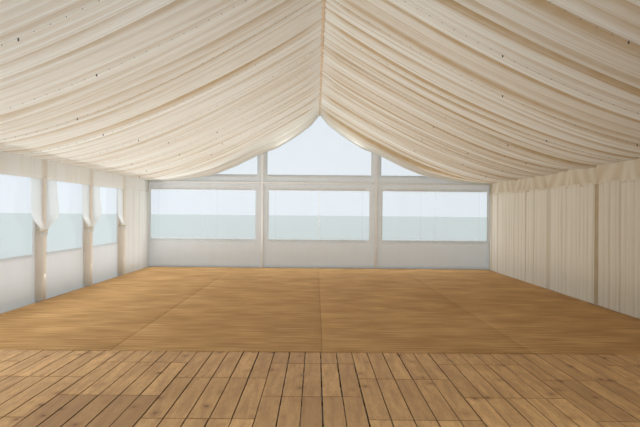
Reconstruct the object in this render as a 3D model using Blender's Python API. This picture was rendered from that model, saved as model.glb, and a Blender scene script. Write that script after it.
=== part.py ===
"""Marquee tent: an aluminium portal frame with sheet covers, window walls and a pleated lining.

X runs across the tent, Y along it and Z up, in metres. The origin is on the ground in the middle
of the tent. The near gable, with the entrance, faces -Y. The window wall is on the -X side.
"""

import math

import bmesh
import bpy

# Frame
SPAN = 9.0  # over the outer faces of the legs
BAY_LENGTH = 3.0  # between the middles of two portal frames
BAY_COUNT = 7
EAVES_HEIGHT = 2.45  # outer corner of leg and rafter
ROOF_RISE = 1.85  # from the eaves to the top of the rafters at the ridge
PROFILE_DEPTH = 0.10  # legs and rafters, seen along the tent
PROFILE_WIDTH = 0.05  # legs and rafters, along the tent
BASE_PLATE_LENGTH = 0.26
BASE_PLATE_THICKNESS = 0.012
TOUCH = 0.0003  # gap that two touching pieces keep

# Rails that join the portal frames
RAIL_STRAP = 0.008  # flat that runs past the frames
RIDGE_RAIL_WIDTH = 0.06
RIDGE_RAIL_HEIGHT = 0.07
EAVES_RAIL_DROP = 0.17  # from the eaves to the rail's bottom
EAVES_RAIL_HEIGHT = 0.08
EAVES_RAIL_DEPTH = 0.07

# Gable frames
UPRIGHT_WIDTH = 0.06
UPRIGHT_FOOT_WIDTH = 0.20
TRANSOM_DROP = 0.20  # from the eaves to the transom's middle
TRANSOM_HEIGHT = 0.04
TRANSOM_LAP = 0.025  # depth of the near transom, let into its uprights

# Floor
DECK_THICKNESS = 0.022
BEARER_HEIGHT = 0.038
BEARER_WIDTH = 0.09
BEARER_COUNT = 29
FLOOR_MARGIN = 0.01  # from the deck's edge to the frame
MAT_THICKNESS = 0.008
MAT_LENGTH = 14.17  # from the far end of the deck
MAT_MARGIN = 0.09  # from the mat's edge to the legs

# Sheeting
SHEET = 0.004  # walls and roof covers
CLEAR_SHEET = 0.002  # windows
COVER_DROP = 0.008  # from the top of the rafters to the covers
COVER_FLAP = 0.12  # from the eaves down
WALL_TOP_DROP = 0.04  # from the eaves to the side walls' top
WINDOW_SILL = 0.79
WINDOW_HEAD_DROP = 0.39  # from the eaves
WINDOW_BORDER = 0.17  # white edge between a gable window and the upright beside it
WALL_WINDOW_BORDER = 0.20  # between a side window and the middle of the leg beside it
WINDOW_OVERLAP = 0.09  # clear sheet past the window's edge
CORNER_BORDER = 0.07  # between a gable window and the leg beside it
UPPER_SILL_RISE = 0.21  # from the transom's middle
UPPER_BORDER = 0.10  # beside the uprights
UPPER_RAFTER_BORDER = 0.16  # below the rafters
ENTRANCE_RISE = 0.10  # from the windows' head to the entrance's

# Linings
LINING = 0.006  # thickness of a lining's solid
LINING_EDGE_DROP = 0.165  # from the eaves to the underside at the edge
LINING_SAG_POWER = 1.5  # 1 is a straight slope, and more hangs lower
LINING_STEPS = 8  # flats from eaves to ridge
PELMET_DROP = 0.105  # from the eaves to the pelmets' top
LEFT_PELMET_HEIGHT = 0.375
RIGHT_PELMET_HEIGHT = 0.385
WALL_LINING = 0.012
RIDGE_STRIP_WIDTH = 0.06
RIDGE_STRIP_THICKNESS = 0.008

# Drapes on the legs of the window wall
DRAPE_DEPTH = 0.14
DRAPE_REACH = 0.74  # from the leg's middle to each side, where a drape is widest
DRAPE_TIE_REACH = 0.09
DRAPE_TIE_HEIGHT = 1.16
TIE_WIDTH = 0.06
LEG_COVER_REACH = 0.085
LEG_COVER_DEPTH = 0.05

HALF_SPAN = SPAN / 2
LENGTH = BAY_LENGTH * BAY_COUNT
RIDGE_HEIGHT = EAVES_HEIGHT + ROOF_RISE
SLOPE = ROOF_RISE / HALF_SPAN
RAFTER_HEIGHT = PROFILE_DEPTH * math.hypot(1, SLOPE)  # of a rafter, cut upright
LEG_INNER = HALF_SPAN - PROFILE_DEPTH
UPRIGHT_X = LEG_INNER / 3  # the two uprights divide a gable in three
GABLE_INNER = LENGTH / 2 - PROFILE_WIDTH / 2
GABLE_OUTER = LENGTH / 2 + PROFILE_WIDTH / 2
FLOOR_TOP = BEARER_HEIGHT + DECK_THICKNESS
WALL_FOOT = BASE_PLATE_THICKNESS + TOUCH
WALL_TOP = EAVES_HEIGHT - WALL_TOP_DROP
COVER_FLAP_BOTTOM = EAVES_HEIGHT - COVER_FLAP
EAVES_RAIL_BOTTOM = EAVES_HEIGHT - EAVES_RAIL_DROP
TRANSOM_MIDDLE = EAVES_HEIGHT - TRANSOM_DROP
WINDOW_HEAD = EAVES_HEIGHT - WINDOW_HEAD_DROP
UPPER_SILL = TRANSOM_MIDDLE + UPPER_SILL_RISE
ENTRANCE_HEAD = WINDOW_HEAD + ENTRANCE_RISE
LINING_EDGE = EAVES_HEIGHT - LINING_EDGE_DROP
PELMET_TOP = EAVES_HEIGHT - PELMET_DROP
LEFT_PELMET_BOTTOM = PELMET_TOP - LEFT_PELMET_HEIGHT
RIGHT_PELMET_BOTTOM = PELMET_TOP - RIGHT_PELMET_HEIGHT
WALL_INNER = HALF_SPAN + TOUCH
WALL_OUTER = WALL_INNER + SHEET
GABLE_SHEET_INNER = GABLE_OUTER + TOUCH
GABLE_SHEET_OUTER = GABLE_SHEET_INNER + SHEET
RAIL_INNER = LEG_INNER - TOUCH - RAIL_STRAP
PELMET_OUTER = RAIL_INNER - TOUCH
PELMET_INNER = PELMET_OUTER - LINING
WALL_LINING_OUTER = PELMET_OUTER
LINING_HALF_WIDTH = PELMET_INNER - TOUCH
LINING_END = GABLE_INNER - TOUCH

PLACE = {
    "X": lambda u, v, w: (w, u, v),
    "Y": lambda u, v, w: (u, w, v),
    "Z": lambda u, v, w: (u, v, w),
}  # outline (u, v) and distance w along each axis, as X, Y, Z


def principled(name, color, roughness, metallic=0.0, alpha=1.0):
    """A plain Principled BSDF material."""
    material = bpy.data.materials.new(name)
    material.use_nodes = True
    shader = material.node_tree.nodes["Principled BSDF"]
    shader.inputs["Base Color"].default_value = (*color, 1.0)
    shader.inputs["Roughness"].default_value = roughness
    shader.inputs["Metallic"].default_value = metallic
    shader.inputs["Alpha"].default_value = alpha
    return material


def prism(name, outline, axis, start, end, material):
    """A solid: an outline carried along an axis from start to end."""
    place = PLACE[axis]
    shape = bmesh.new()
    base = shape.faces.new([shape.verts.new(place(u, v, start)) for u, v in outline])
    grown = bmesh.ops.extrude_face_region(shape, geom=[base])["geom"]
    tips = [item for item in grown if isinstance(item, bmesh.types.BMVert)]
    bmesh.ops.translate(shape, verts=tips, vec=place(0, 0, end - start))
    bmesh.ops.recalc_face_normals(shape, faces=shape.faces)
    mesh = bpy.data.meshes.new(name)
    shape.to_mesh(mesh)
    shape.free()
    mesh.materials.append(material)
    solid = bpy.data.objects.new(name, mesh)
    bpy.context.collection.objects.link(solid)
    return solid


def box(name, low, high, material):
    """A rectangular solid between two corners."""
    outline = rectangle(low[0], low[1], high[0], high[1])
    return prism(name, outline, "Z", low[2], high[2], material)


def rectangle(u0, v0, u1, v1):
    """The outline of a rectangle between two corners."""
    return [(u0, v0), (u1, v0), (u1, v1), (u0, v1)]


def combine(solid, tool, operation):
    """Cut a tool from a solid, or join it on, and hide the tool."""
    tool.hide_render = True
    tool.display_type = "WIRE"
    change = solid.modifiers.new(tool.name, "BOOLEAN")
    change.operation = operation
    change.object = tool


def mirrored(points):
    """Points from left to right across the tent, from those of its right half, ridge first."""
    return [(-x, z) for x, z in reversed(points) if x > 0] + points


def rafter_top(x):
    """Height of the rafters' upper face."""
    return RIDGE_HEIGHT - SLOPE * abs(x)


def rafter_underside(x):
    """Height of the rafters' lower face."""
    return rafter_top(x) - RAFTER_HEIGHT


def frame_middle(index):
    """Y of a portal frame, counted from 1 at the near gable."""
    return (index - 1) * BAY_LENGTH - LENGTH / 2


def portal_frame(index, metal):
    """Two legs and two rafters in one plane, on base plates."""
    middle = frame_middle(index)
    outer = mirrored([(0, RIDGE_HEIGHT), (HALF_SPAN, EAVES_HEIGHT), (HALF_SPAN, 0)])
    inner = mirrored(
        [(0, rafter_underside(0)), (LEG_INNER, rafter_underside(LEG_INNER)), (LEG_INNER, 0)]
    )
    frame = prism(
        f"portal_frame_{index}",
        outer + inner[::-1],
        "Y",
        middle - PROFILE_WIDTH / 2,
        middle + PROFILE_WIDTH / 2,
        metal,
    )
    for side in (-1, 1):
        ends = sorted((side * LEG_INNER, side * HALF_SPAN))
        plate = box(
            f"base_plate_{index}_{'left' if side < 0 else 'right'}",
            (ends[0], middle - BASE_PLATE_LENGTH / 2, 0),
            (ends[1], middle + BASE_PLATE_LENGTH / 2, BASE_PLATE_THICKNESS),
            metal,
        )
        combine(frame, plate, "UNION")
    return frame


def notched_rail(strap_low, strap_high, block_reach, end):
    """Outline of a rail along Y: blocks between the frames, on a strap that runs past them.

    The outline's first number is Y, and the second is measured from the strap towards the blocks.
    """
    points = [(-end, strap_low), (end, strap_low), (end, strap_high)]
    for index in range(BAY_COUNT, 0, -1):
        near = frame_middle(index) + PROFILE_WIDTH / 2 + TOUCH
        far = frame_middle(index + 1) - PROFILE_WIDTH / 2 - TOUCH
        points += [(far, strap_high), (far, block_reach), (near, block_reach), (near, strap_high)]
    points.append((-end, strap_high))
    return [p for i, p in enumerate(points) if i == 0 or p != points[i - 1]]


def ridge_rail(metal):
    """The purlin at the ridge, under the apex of every frame."""
    strap_top = rafter_underside(RIDGE_RAIL_WIDTH / 2) - TOUCH
    outline = notched_rail(
        strap_top - RAIL_STRAP, strap_top, strap_top + RIDGE_RAIL_HEIGHT, GABLE_OUTER
    )
    half = RIDGE_RAIL_WIDTH / 2
    return prism("ridge_rail", outline, "X", -half, half, metal)


def eaves_rail(side, name, metal):
    """The purlin at the eaves, which also carries the pelmet and the lining's edge."""
    outline = notched_rail(
        RAIL_INNER, LEG_INNER - TOUCH, RAIL_INNER + EAVES_RAIL_DEPTH, GABLE_INNER - TOUCH
    )
    plan = [(side * reach, along) for along, reach in outline]
    top = EAVES_RAIL_BOTTOM + EAVES_RAIL_HEIGHT
    return prism(name, plan, "Z", EAVES_RAIL_BOTTOM, top, metal)


def gable_upright(end, side, name, metal):
    """One upright of a gable, on its foot. end is 1 at the far gable and -1 at the near."""
    middle = side * UPRIGHT_X
    low, high = middle - UPRIGHT_WIDTH / 2, middle + UPRIGHT_WIDTH / 2
    foot_low, foot_high = middle - UPRIGHT_FOOT_WIDTH / 2, middle + UPRIGHT_FOOT_WIDTH / 2
    outline = [
        (foot_low, 0),
        (foot_high, 0),
        (foot_high, BASE_PLATE_THICKNESS),
        (high, BASE_PLATE_THICKNESS),
        (high, rafter_underside(high) - TOUCH),
        (low, rafter_underside(low) - TOUCH),
        (low, BASE_PLATE_THICKNESS),
        (foot_low, BASE_PLATE_THICKNESS),
    ]
    return prism(name, outline, "Y", *sorted((end * GABLE_INNER, end * GABLE_OUTER)), metal)


def gable_transom(end, name, depth, clearance, metal):
    """The bar across a gable, from leg to leg. clearance makes it a cutter for its uprights."""
    half = TRANSOM_HEIGHT / 2 + clearance
    reach = LEG_INNER - TOUCH
    outline = rectangle(-reach, TRANSOM_MIDDLE - half, reach, TRANSOM_MIDDLE + half)
    faces = sorted((end * (GABLE_INNER - clearance), end * (GABLE_INNER + depth + clearance)))
    return prism(name, outline, "Y", *faces, metal)


def far_gable_frame(metal):
    """Two uprights and the transom of the far gable, as one piece."""
    frame = gable_transom(1, "far_gable_frame", GABLE_OUTER - GABLE_INNER, 0, metal)
    for side in (-1, 1):
        combine(frame, gable_upright(1, side, f"far_upright_{side}", metal), "UNION")


def near_gable_frame(metal):
    """Two uprights beside the entrance, with the transom let into their inner faces."""
    gable_transom(-1, "near_transom", TRANSOM_LAP, 0, metal)
    for side, name in ((-1, "near_left_upright"), (1, "near_right_upright")):
        lap = gable_transom(-1, f"{name}_lap", TRANSOM_LAP, TOUCH, metal)
        combine(gable_upright(-1, side, name, metal), lap, "DIFFERENCE")


def timber_floor(timber):
    """Deck boards as one layer, on bearers that lie across the tent."""
    end = GABLE_INNER - FLOOR_MARGIN
    half_width = LEG_INNER - FLOOR_MARGIN
    pitch = (2 * end - BEARER_WIDTH) / (BEARER_COUNT - 1)
    outline = [(end, FLOOR_TOP), (-end, FLOOR_TOP)]
    for index in range(BEARER_COUNT):
        near = -end + index * pitch
        far = near + BEARER_WIDTH
        outline += [(near, BEARER_HEIGHT), (near, 0), (far, 0), (far, BEARER_HEIGHT)]
    outline = [p for p in outline if p not in ((-end, BEARER_HEIGHT), (end, BEARER_HEIGHT))]
    return prism("timber_floor", outline, "X", -half_width, half_width, timber)


def coir_mat(coir):
    """Matting over the far two thirds of the deck."""
    end = GABLE_INNER - FLOOR_MARGIN
    half_width = LEG_INNER - MAT_MARGIN
    low = FLOOR_TOP + TOUCH
    return box(
        "coir_mat", (-half_width, end - MAT_LENGTH, low), (half_width, end, low + MAT_THICKNESS), coir
    )


def roof_cover(bay, sheet):
    """One bay's cover, over the ridge and down outside both walls as a short flap."""

    def line(inset):
        """The cover's right half, ridge first, set in from its outer face."""
        reach = WALL_OUTER + TOUCH + SHEET - inset
        height = RIDGE_HEIGHT - COVER_DROP - inset * math.hypot(1, SLOPE)
        return mirrored([(0, height), (reach, height - SLOPE * reach), (reach, COVER_FLAP_BOTTOM)])

    near = frame_middle(bay) + PROFILE_WIDTH / 2 + TOUCH
    far = frame_middle(bay + 1) - PROFILE_WIDTH / 2 - TOUCH
    return prism(f"roof_cover_{bay}", line(0) + line(SHEET)[::-1], "Y", near, far, sheet)


def lining_underside(x):
    """Height of the roof lining, which hangs in a curve from the ridge to the eaves."""
    share = 1 - abs(x) / LINING_HALF_WIDTH
    return LINING_EDGE + (lining_ridge() - LINING_EDGE) * share**LINING_SAG_POWER


def lining_ridge():
    """Height of the roof lining's underside at the ridge, under the ridge rail."""
    return rafter_underside(RIDGE_RAIL_WIDTH / 2) - 2 * TOUCH - RAIL_STRAP - LINING


def roof_lining(bay, cloth):
    """One bay's lining, from eaves to eaves."""
    reach = [LINING_HALF_WIDTH * step / LINING_STEPS for step in range(LINING_STEPS + 1)]
    low = mirrored([(x, lining_underside(x)) for x in reach])
    high = [(x, z + LINING) for x, z in low]
    near = max(frame_middle(bay) + TOUCH / 2, -LINING_END)
    far = min(frame_middle(bay + 1) - TOUCH / 2, LINING_END)
    return prism(f"roof_lining_{bay}", low + high[::-1], "Y", near, far, cloth)


def ridge_strip(cloth):
    """The narrow strip that covers the lining's joint under the ridge."""
    half = RIDGE_STRIP_WIDTH / 2
    first_flat = LINING_HALF_WIDTH / LINING_STEPS
    fall = (lining_underside(0) - lining_underside(first_flat)) * half / first_flat
    top = lining_underside(0) - fall - TOUCH
    return box(
        "ridge_strip",
        (-half, -LINING_END, top - RIDGE_STRIP_THICKNESS),
        (half, LINING_END, top),
        cloth,
    )


def pelmet(side, name, bottom, cloth):
    """The band under the roof lining's edge, on the eaves rail."""
    faces = sorted((side * PELMET_INNER, side * PELMET_OUTER))
    return box(name, (faces[0], -LINING_END, bottom), (faces[1], LINING_END, PELMET_TOP), cloth)


def wall_lining(side, name, near, top, cloth):
    """A pleated lining from the pelmet to the floor, as a plain slab."""
    faces = sorted((side * WALL_LINING_OUTER, side * (WALL_LINING_OUTER - WALL_LINING)))
    return box(
        name,
        (faces[0], near, FLOOR_TOP + TOUCH),
        (faces[1], LINING_END, top - TOUCH),
        cloth,
    )


def spread_edge():
    """One edge of a drape, top first: how far it reaches from the leg's middle at each height."""
    top = LEFT_PELMET_BOTTOM - TOUCH
    fall = top - DRAPE_TIE_HEIGHT
    gather = DRAPE_REACH - DRAPE_TIE_REACH
    shape = [(0, 0.93), (0.6, 1), (0.75, 0.9), (0.88, 0.45), (1, 0)]  # share of fall, of gather
    edge = [(DRAPE_TIE_REACH + gather * full, top - fall * down) for down, full in shape]
    return [*edge, (LEG_COVER_REACH, DRAPE_TIE_HEIGHT - TIE_WIDTH)]


def straight_edge():
    """The edge of the leg's cover alone, top first."""
    top = LEFT_PELMET_BOTTOM - TOUCH
    return [(LEG_COVER_REACH, top), (LEG_COVER_REACH, DRAPE_TIE_HEIGHT - TIE_WIDTH)]


def leg_drape(index, cloth):
    """Voile gathered to a leg and tied, over the leg's cover.

    The last one has the lined end bay on its far side, so it spreads to the near side only.
    """
    far_edge = spread_edge() if index < BAY_COUNT else straight_edge()
    middle = frame_middle(index)
    outline = [(middle - reach, height) for reach, height in spread_edge()]
    outline += [(middle + reach, height) for reach, height in reversed(far_edge)]
    outer = -(LEG_INNER - TOUCH)
    drape = prism(f"leg_drape_{index}", outline, "X", outer, outer + DRAPE_DEPTH, cloth)
    cover = box(
        f"leg_cover_{index}",
        (outer, middle - LEG_COVER_REACH, FLOOR_TOP + TOUCH),
        (outer + LEG_COVER_DEPTH, middle + LEG_COVER_REACH, DRAPE_TIE_HEIGHT - TIE_WIDTH / 2),
        cloth,
    )
    combine(drape, cover, "UNION")
    return drape


def right_wall(sheet):
    """The plain sheet outside the legs of the lined side."""
    end = GABLE_SHEET_OUTER
    box("right_wall", (WALL_INNER, -end, WALL_FOOT), (WALL_OUTER, end, WALL_TOP), sheet)


def left_wall(bay, has_window, sheet):
    """One bay's sheet outside the legs of the window side, with or without a window."""
    near = frame_middle(bay) + TOUCH / 2 if bay > 1 else -GABLE_SHEET_OUTER
    far = frame_middle(bay + 1) - TOUCH / 2 if bay < BAY_COUNT else GABLE_SHEET_OUTER
    wall = box(
        f"left_wall_{bay}", (-WALL_OUTER, near, WALL_FOOT), (-WALL_INNER, far, WALL_TOP), sheet
    )
    if has_window:
        cutter = box(
            f"left_wall_{bay}_cut",
            (-WALL_OUTER - SHEET, frame_middle(bay) + WALL_WINDOW_BORDER, WINDOW_SILL),
            (-WALL_INNER + SHEET, frame_middle(bay + 1) - WALL_WINDOW_BORDER, WINDOW_HEAD),
            sheet,
        )
        combine(wall, cutter, "DIFFERENCE")


def left_windows(window_bays, clear):
    """One clear sheet over all the windows of the left wall."""
    outer = -(WALL_OUTER + TOUCH)
    return box(
        "left_windows",
        (
            outer - CLEAR_SHEET,
            frame_middle(window_bays[0]) + WALL_WINDOW_BORDER - WINDOW_OVERLAP,
            WINDOW_SILL - WINDOW_OVERLAP,
        ),
        (
            outer,
            frame_middle(window_bays[-1] + 1) - WALL_WINDOW_BORDER + WINDOW_OVERLAP,
            WINDOW_HEAD + WINDOW_OVERLAP,
        ),
        clear,
    )


def upper_window_edge(x):
    """Height of the upper windows' sloping edge."""
    return rafter_underside(x) - UPPER_RAFTER_BORDER


def lower_side_window(side):
    """Outline of the window between an upright and a leg."""
    low = side * (UPRIGHT_X + WINDOW_BORDER)
    return rectangle(low, WINDOW_SILL, side * (LEG_INNER - CORNER_BORDER), WINDOW_HEAD)


def lower_middle_window():
    """Outline of the window between the two uprights."""
    half = UPRIGHT_X - WINDOW_BORDER
    return rectangle(-half, WINDOW_SILL, half, WINDOW_HEAD)


def upper_windows():
    """Outlines of a gable's upper windows: one between the uprights and one on each side."""
    inner = UPRIGHT_X - UPRIGHT_WIDTH / 2 - UPPER_BORDER
    outer = UPRIGHT_X + UPRIGHT_WIDTH / 2 + UPPER_BORDER
    tip = (upper_window_edge(0) - UPPER_SILL) / SLOPE
    side_window = [(outer, UPPER_SILL), (tip, UPPER_SILL), (outer, upper_window_edge(outer))]
    middle = [(0, upper_window_edge(0)), (inner, upper_window_edge(inner)), (inner, UPPER_SILL)]
    return [mirrored(middle)] + [[(side * x, z) for x, z in side_window] for side in (-1, 1)]


def gable_sheet(end, name, outline, cuts, sheet):
    """A sheet outside a gable frame, with windows cut through it."""
    faces = sorted((end * GABLE_SHEET_INNER, end * GABLE_SHEET_OUTER))
    wall = prism(name, outline, "Y", *faces, sheet)
    for number, cut in enumerate(cuts, 1):
        cutter = prism(f"{name}_cut_{number}", cut, "Y", faces[0] - SHEET, faces[1] + SHEET, sheet)
        combine(wall, cutter, "DIFFERENCE")
    return wall


def gable_outline(bottom):
    """Outline of a gable from a level up to the roof covers."""
    return mirrored(
        [
            (0, RIDGE_HEIGHT - COVER_DROP),
            (HALF_SPAN, EAVES_HEIGHT - COVER_DROP),
            (HALF_SPAN, bottom),
        ]
    )


def far_gable(sheet):
    """The far gable in one sheet, with all its windows."""
    cuts = [lower_side_window(-1), lower_side_window(1), lower_middle_window(), *upper_windows()]
    gable_sheet(1, "far_gable_wall", gable_outline(WALL_FOOT), cuts, sheet)


def near_gable(sheet):
    """The near gable: a sheet on each side of the entrance, and one above it."""
    door = UPRIGHT_X - UPRIGHT_WIDTH / 2
    top = ENTRANCE_HEAD
    for side, name in ((-1, "near_left_wall"), (1, "near_right_wall")):
        panel = rectangle(side * door, WALL_FOOT, side * HALF_SPAN, top)
        gable_sheet(-1, name, panel, [lower_side_window(side)], sheet)
    gable_sheet(-1, "near_upper_wall", gable_outline(top + TOUCH), upper_windows(), sheet)


def clear_panel(end, name, outline, clear):
    """A clear sheet on the outside of a gable's sheet."""
    inner = GABLE_SHEET_OUTER + TOUCH
    faces = sorted((end * inner, end * (inner + CLEAR_SHEET)))
    return prism(name, outline, "Y", *faces, clear)


def upper_window_outline():
    """Outline of the clear sheet over a gable's three upper windows."""
    bottom = UPPER_SILL - WINDOW_OVERLAP
    top = upper_window_edge(0) + WINDOW_OVERLAP
    return [(-(top - bottom) / SLOPE, bottom), ((top - bottom) / SLOPE, bottom), (0, top)]


def build():
    """Make every piece of the tent."""
    for old in list(bpy.data.objects):
        bpy.data.objects.remove(old)

    metal = principled("aluminium_profile", (0.68, 0.69, 0.70), 0.35, metallic=1.0)
    sheet = principled("white_sheet", (0.86, 0.86, 0.84), 0.45)
    clear = principled("clear_sheet", (0.90, 0.94, 0.95), 0.08, alpha=0.25)
    cloth = principled("ivory_lining", (0.80, 0.73, 0.62), 0.85)
    voile = principled("white_voile", (0.90, 0.89, 0.86), 0.80)
    timber = principled("pine_boards", (0.50, 0.36, 0.24), 0.60)
    coir = principled("coir", (0.46, 0.32, 0.18), 0.95)

    for index in range(1, BAY_COUNT + 2):
        portal_frame(index, metal)
    ridge_rail(metal)
    eaves_rail(-1, "left_eaves_rail", metal)
    eaves_rail(1, "right_eaves_rail", metal)
    far_gable_frame(metal)
    near_gable_frame(metal)

    timber_floor(timber)
    coir_mat(coir)

    window_bays = list(range(1, BAY_COUNT))
    for bay in range(1, BAY_COUNT + 1):
        roof_cover(bay, sheet)
        roof_lining(bay, cloth)
        left_wall(bay, bay in window_bays, sheet)
    right_wall(sheet)
    left_windows(window_bays, clear)

    far_gable(sheet)
    near_gable(sheet)
    low, high = WINDOW_SILL - WINDOW_OVERLAP, WINDOW_HEAD + WINDOW_OVERLAP
    reach = LEG_INNER
    beside_door = UPRIGHT_X + WINDOW_BORDER - WINDOW_OVERLAP
    clear_panel(1, "far_gable_windows", rectangle(-reach, low, reach, high), clear)
    clear_panel(-1, "near_left_window", rectangle(-reach, low, -beside_door, high), clear)
    clear_panel(-1, "near_right_window", rectangle(beside_door, low, reach, high), clear)
    clear_panel(1, "far_upper_window", upper_window_outline(), clear)
    clear_panel(-1, "near_upper_window", upper_window_outline(), clear)

    ridge_strip(cloth)
    pelmet(-1, "left_pelmet", LEFT_PELMET_BOTTOM, cloth)
    pelmet(1, "right_pelmet", RIGHT_PELMET_BOTTOM, cloth)
    lined_from = frame_middle(BAY_COUNT) + LEG_COVER_REACH + TOUCH
    wall_lining(-1, "left_end_lining", lined_from, LEFT_PELMET_BOTTOM, cloth)
    wall_lining(1, "right_wall_lining", -LINING_END, RIGHT_PELMET_BOTTOM, cloth)
    for index in range(2, BAY_COUNT + 1):
        leg_drape(index, voile)


build()
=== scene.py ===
"""Marquee tent: what shows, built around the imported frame.

X runs across the tent, Y along it and Z up, in metres. The near gable, with the entrance, faces -Y,
and the window wall is on the -X side. Every surface is a numpy grid whose formula is given in words.
"""

import logging
import math
from collections.abc import Callable, Sequence
from dataclasses import dataclass, field
from enum import Enum

import bpy
import numpy as np
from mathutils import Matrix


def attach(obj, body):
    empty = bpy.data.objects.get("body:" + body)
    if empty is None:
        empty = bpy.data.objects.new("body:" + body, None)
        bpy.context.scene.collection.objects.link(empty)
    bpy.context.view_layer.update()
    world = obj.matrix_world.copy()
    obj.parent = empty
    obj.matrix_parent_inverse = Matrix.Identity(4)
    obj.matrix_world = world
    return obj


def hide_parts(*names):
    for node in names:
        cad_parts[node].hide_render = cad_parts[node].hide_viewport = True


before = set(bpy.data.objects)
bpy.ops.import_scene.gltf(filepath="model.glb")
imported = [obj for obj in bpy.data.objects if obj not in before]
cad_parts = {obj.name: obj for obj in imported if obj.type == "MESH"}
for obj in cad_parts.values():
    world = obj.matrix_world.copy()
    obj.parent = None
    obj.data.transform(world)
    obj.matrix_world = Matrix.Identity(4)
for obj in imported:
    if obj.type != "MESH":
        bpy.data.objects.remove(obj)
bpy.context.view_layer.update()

Array = np.ndarray
log = logging.getLogger("marquee_tent")


@dataclass(frozen=True)
class Tent:
    """The sizes that the solids have too, in metres."""

    half_span: float = 4.5
    bay: float = 3.0
    bays: int = 7
    eaves: float = 2.45
    rise: float = 1.85
    profile_depth: float = 0.10
    profile_width: float = 0.05
    touch: float = 0.0003
    sheet: float = 0.004
    floor_top: float = 0.06
    wall_foot: float = 0.0123
    wall_top: float = 2.41
    flap_bottom: float = 2.33
    cover_drop: float = 0.008
    window_sill: float = 0.79
    window_head: float = 2.06
    wall_window_border: float = 0.20
    gable_window_border: float = 0.17
    corner_border: float = 0.07
    film_overlap: float = 0.09
    upright_x: float = 4.4 / 3
    upright_width: float = 0.06
    transom: float = 2.25
    upper_sill: float = 2.46
    upper_border: float = 0.10
    upper_rafter_border: float = 0.16
    entrance_head: float = 2.16
    lining_half_width: float = 4.3851
    lining_edge: float = 2.285
    lining_ridge: float = 4.165
    sag_power: float = 1.5
    pelmet_top: float = 2.345
    left_pelmet_bottom: float = 1.97
    right_pelmet_bottom: float = 1.96
    pelmet_inner: float = 4.3854
    lining_end: float = 10.4747
    tie_height: float = 1.16

    @property
    def half_length(self) -> float:
        """Y of the last portal frame's middle."""
        return self.bay * self.bays / 2

    @property
    def ridge(self) -> float:
        """Height of the rafters' top at the ridge."""
        return self.eaves + self.rise

    @property
    def slope(self) -> float:
        """Fall of the roof for each metre outwards."""
        return self.rise / self.half_span

    @property
    def leg_inner(self) -> float:
        """X of the legs' inner faces."""
        return self.half_span - self.profile_depth

    @property
    def gable_outer(self) -> float:
        """Y of the end frames' outer faces."""
        return self.half_length + self.profile_width / 2

    def frame_y(self, index: int) -> float:
        """Y of a portal frame's middle, counted from 1 at the near gable."""
        return (index - 1) * self.bay - self.half_length

    def rafter_top(self, x: float | Array) -> float | Array:
        """Height of the rafters' upper face at X."""
        return self.ridge - self.slope * np.abs(x)

    def rafter_underside(self, x: float | Array) -> float | Array:
        """Height of the rafters' lower face at X."""
        return self.rafter_top(x) - self.profile_depth * math.hypot(1, self.slope)

    def upper_window_edge(self, x: float | Array) -> float | Array:
        """Height of the upper windows' sloping edge at X."""
        return self.rafter_underside(x) - self.upper_rafter_border

    def lining_height(self, x: Array) -> Array:
        """Height of the roof lining: from the edge up to the ridge, as a power of the share inwards."""
        share = np.clip(1 - np.abs(x) / self.lining_half_width, 0, 1)
        return self.lining_edge + (self.lining_ridge - self.lining_edge) * share**self.sag_power


TENT = Tent()


@dataclass
class Surface:
    """A mesh as arrays: points, quads, and what each point carries."""

    points: Array
    quads: Array
    uv: Array | None = None
    marks: dict[str, Array] = field(default_factory=dict)

    def turned(self) -> "Surface":
        """The same surface with its faces to the other side."""
        return Surface(self.points, self.quads[:, ::-1], self.uv, self.marks)


def grid_quads(rows: int, columns: int, round_columns: bool = False) -> Array:
    """Quads of a grid of points, row by row.

    Args:
        rows: Points along the first parameter.
        columns: Points along the second parameter.
        round_columns: Whether the last column joins the first.

    Returns:
        Four point numbers for each quad.
    """
    r, c = np.meshgrid(np.arange(rows - 1), np.arange(columns - (not round_columns)), indexing="ij")
    r, c = r.ravel(), c.ravel()
    row, next_row, next_column = r * columns, (r + 1) * columns, (c + 1) % columns
    corners = [row + c, row + next_column, next_row + next_column, next_row + c]
    return np.stack(corners, 1)


def beside(*parts: float | Array) -> Array:
    """Arrays stretched to one shape and put side by side, such as x, y and z into points."""
    return np.stack(np.broadcast_arrays(*parts), -1)


def grid(points: Array, uv: Array | None = None, **marks: Array) -> Surface:
    """A sheet from a grid of points.

    Args:
        points: Rows by columns by three.
        uv: Rows by columns by two, in metres of cloth.
        marks: Values of each point, rows by columns.

    Returns:
        The sheet. Its faces point along the columns' direction crossed with the rows'.
    """
    rows, columns = points.shape[:2]
    flat_uv = None if uv is None else uv.reshape(-1, 2)
    flat_marks = {name: np.broadcast_to(v, (rows, columns)).reshape(-1) for name, v in marks.items()}
    return Surface(points.reshape(-1, 3), grid_quads(rows, columns), flat_uv, flat_marks)


def join(parts: Sequence[Surface]) -> Surface:
    """One surface of several that carry the same marks.

    Args:
        parts: The surfaces. All of them have a UV, or none has.

    Returns:
        The joined surface, with its points in the parts' order.
    """
    starts = np.cumsum([0] + [len(p.points) for p in parts[:-1]])
    marks = {name: np.concatenate([p.marks[name] for p in parts]) for name in sorted(parts[0].marks)}
    uv = None if parts[0].uv is None else np.concatenate([p.uv for p in parts])
    quads = np.concatenate([p.quads + s for p, s in zip(parts, starts)])
    return Surface(np.concatenate([p.points for p in parts]), quads, uv, marks)


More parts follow.
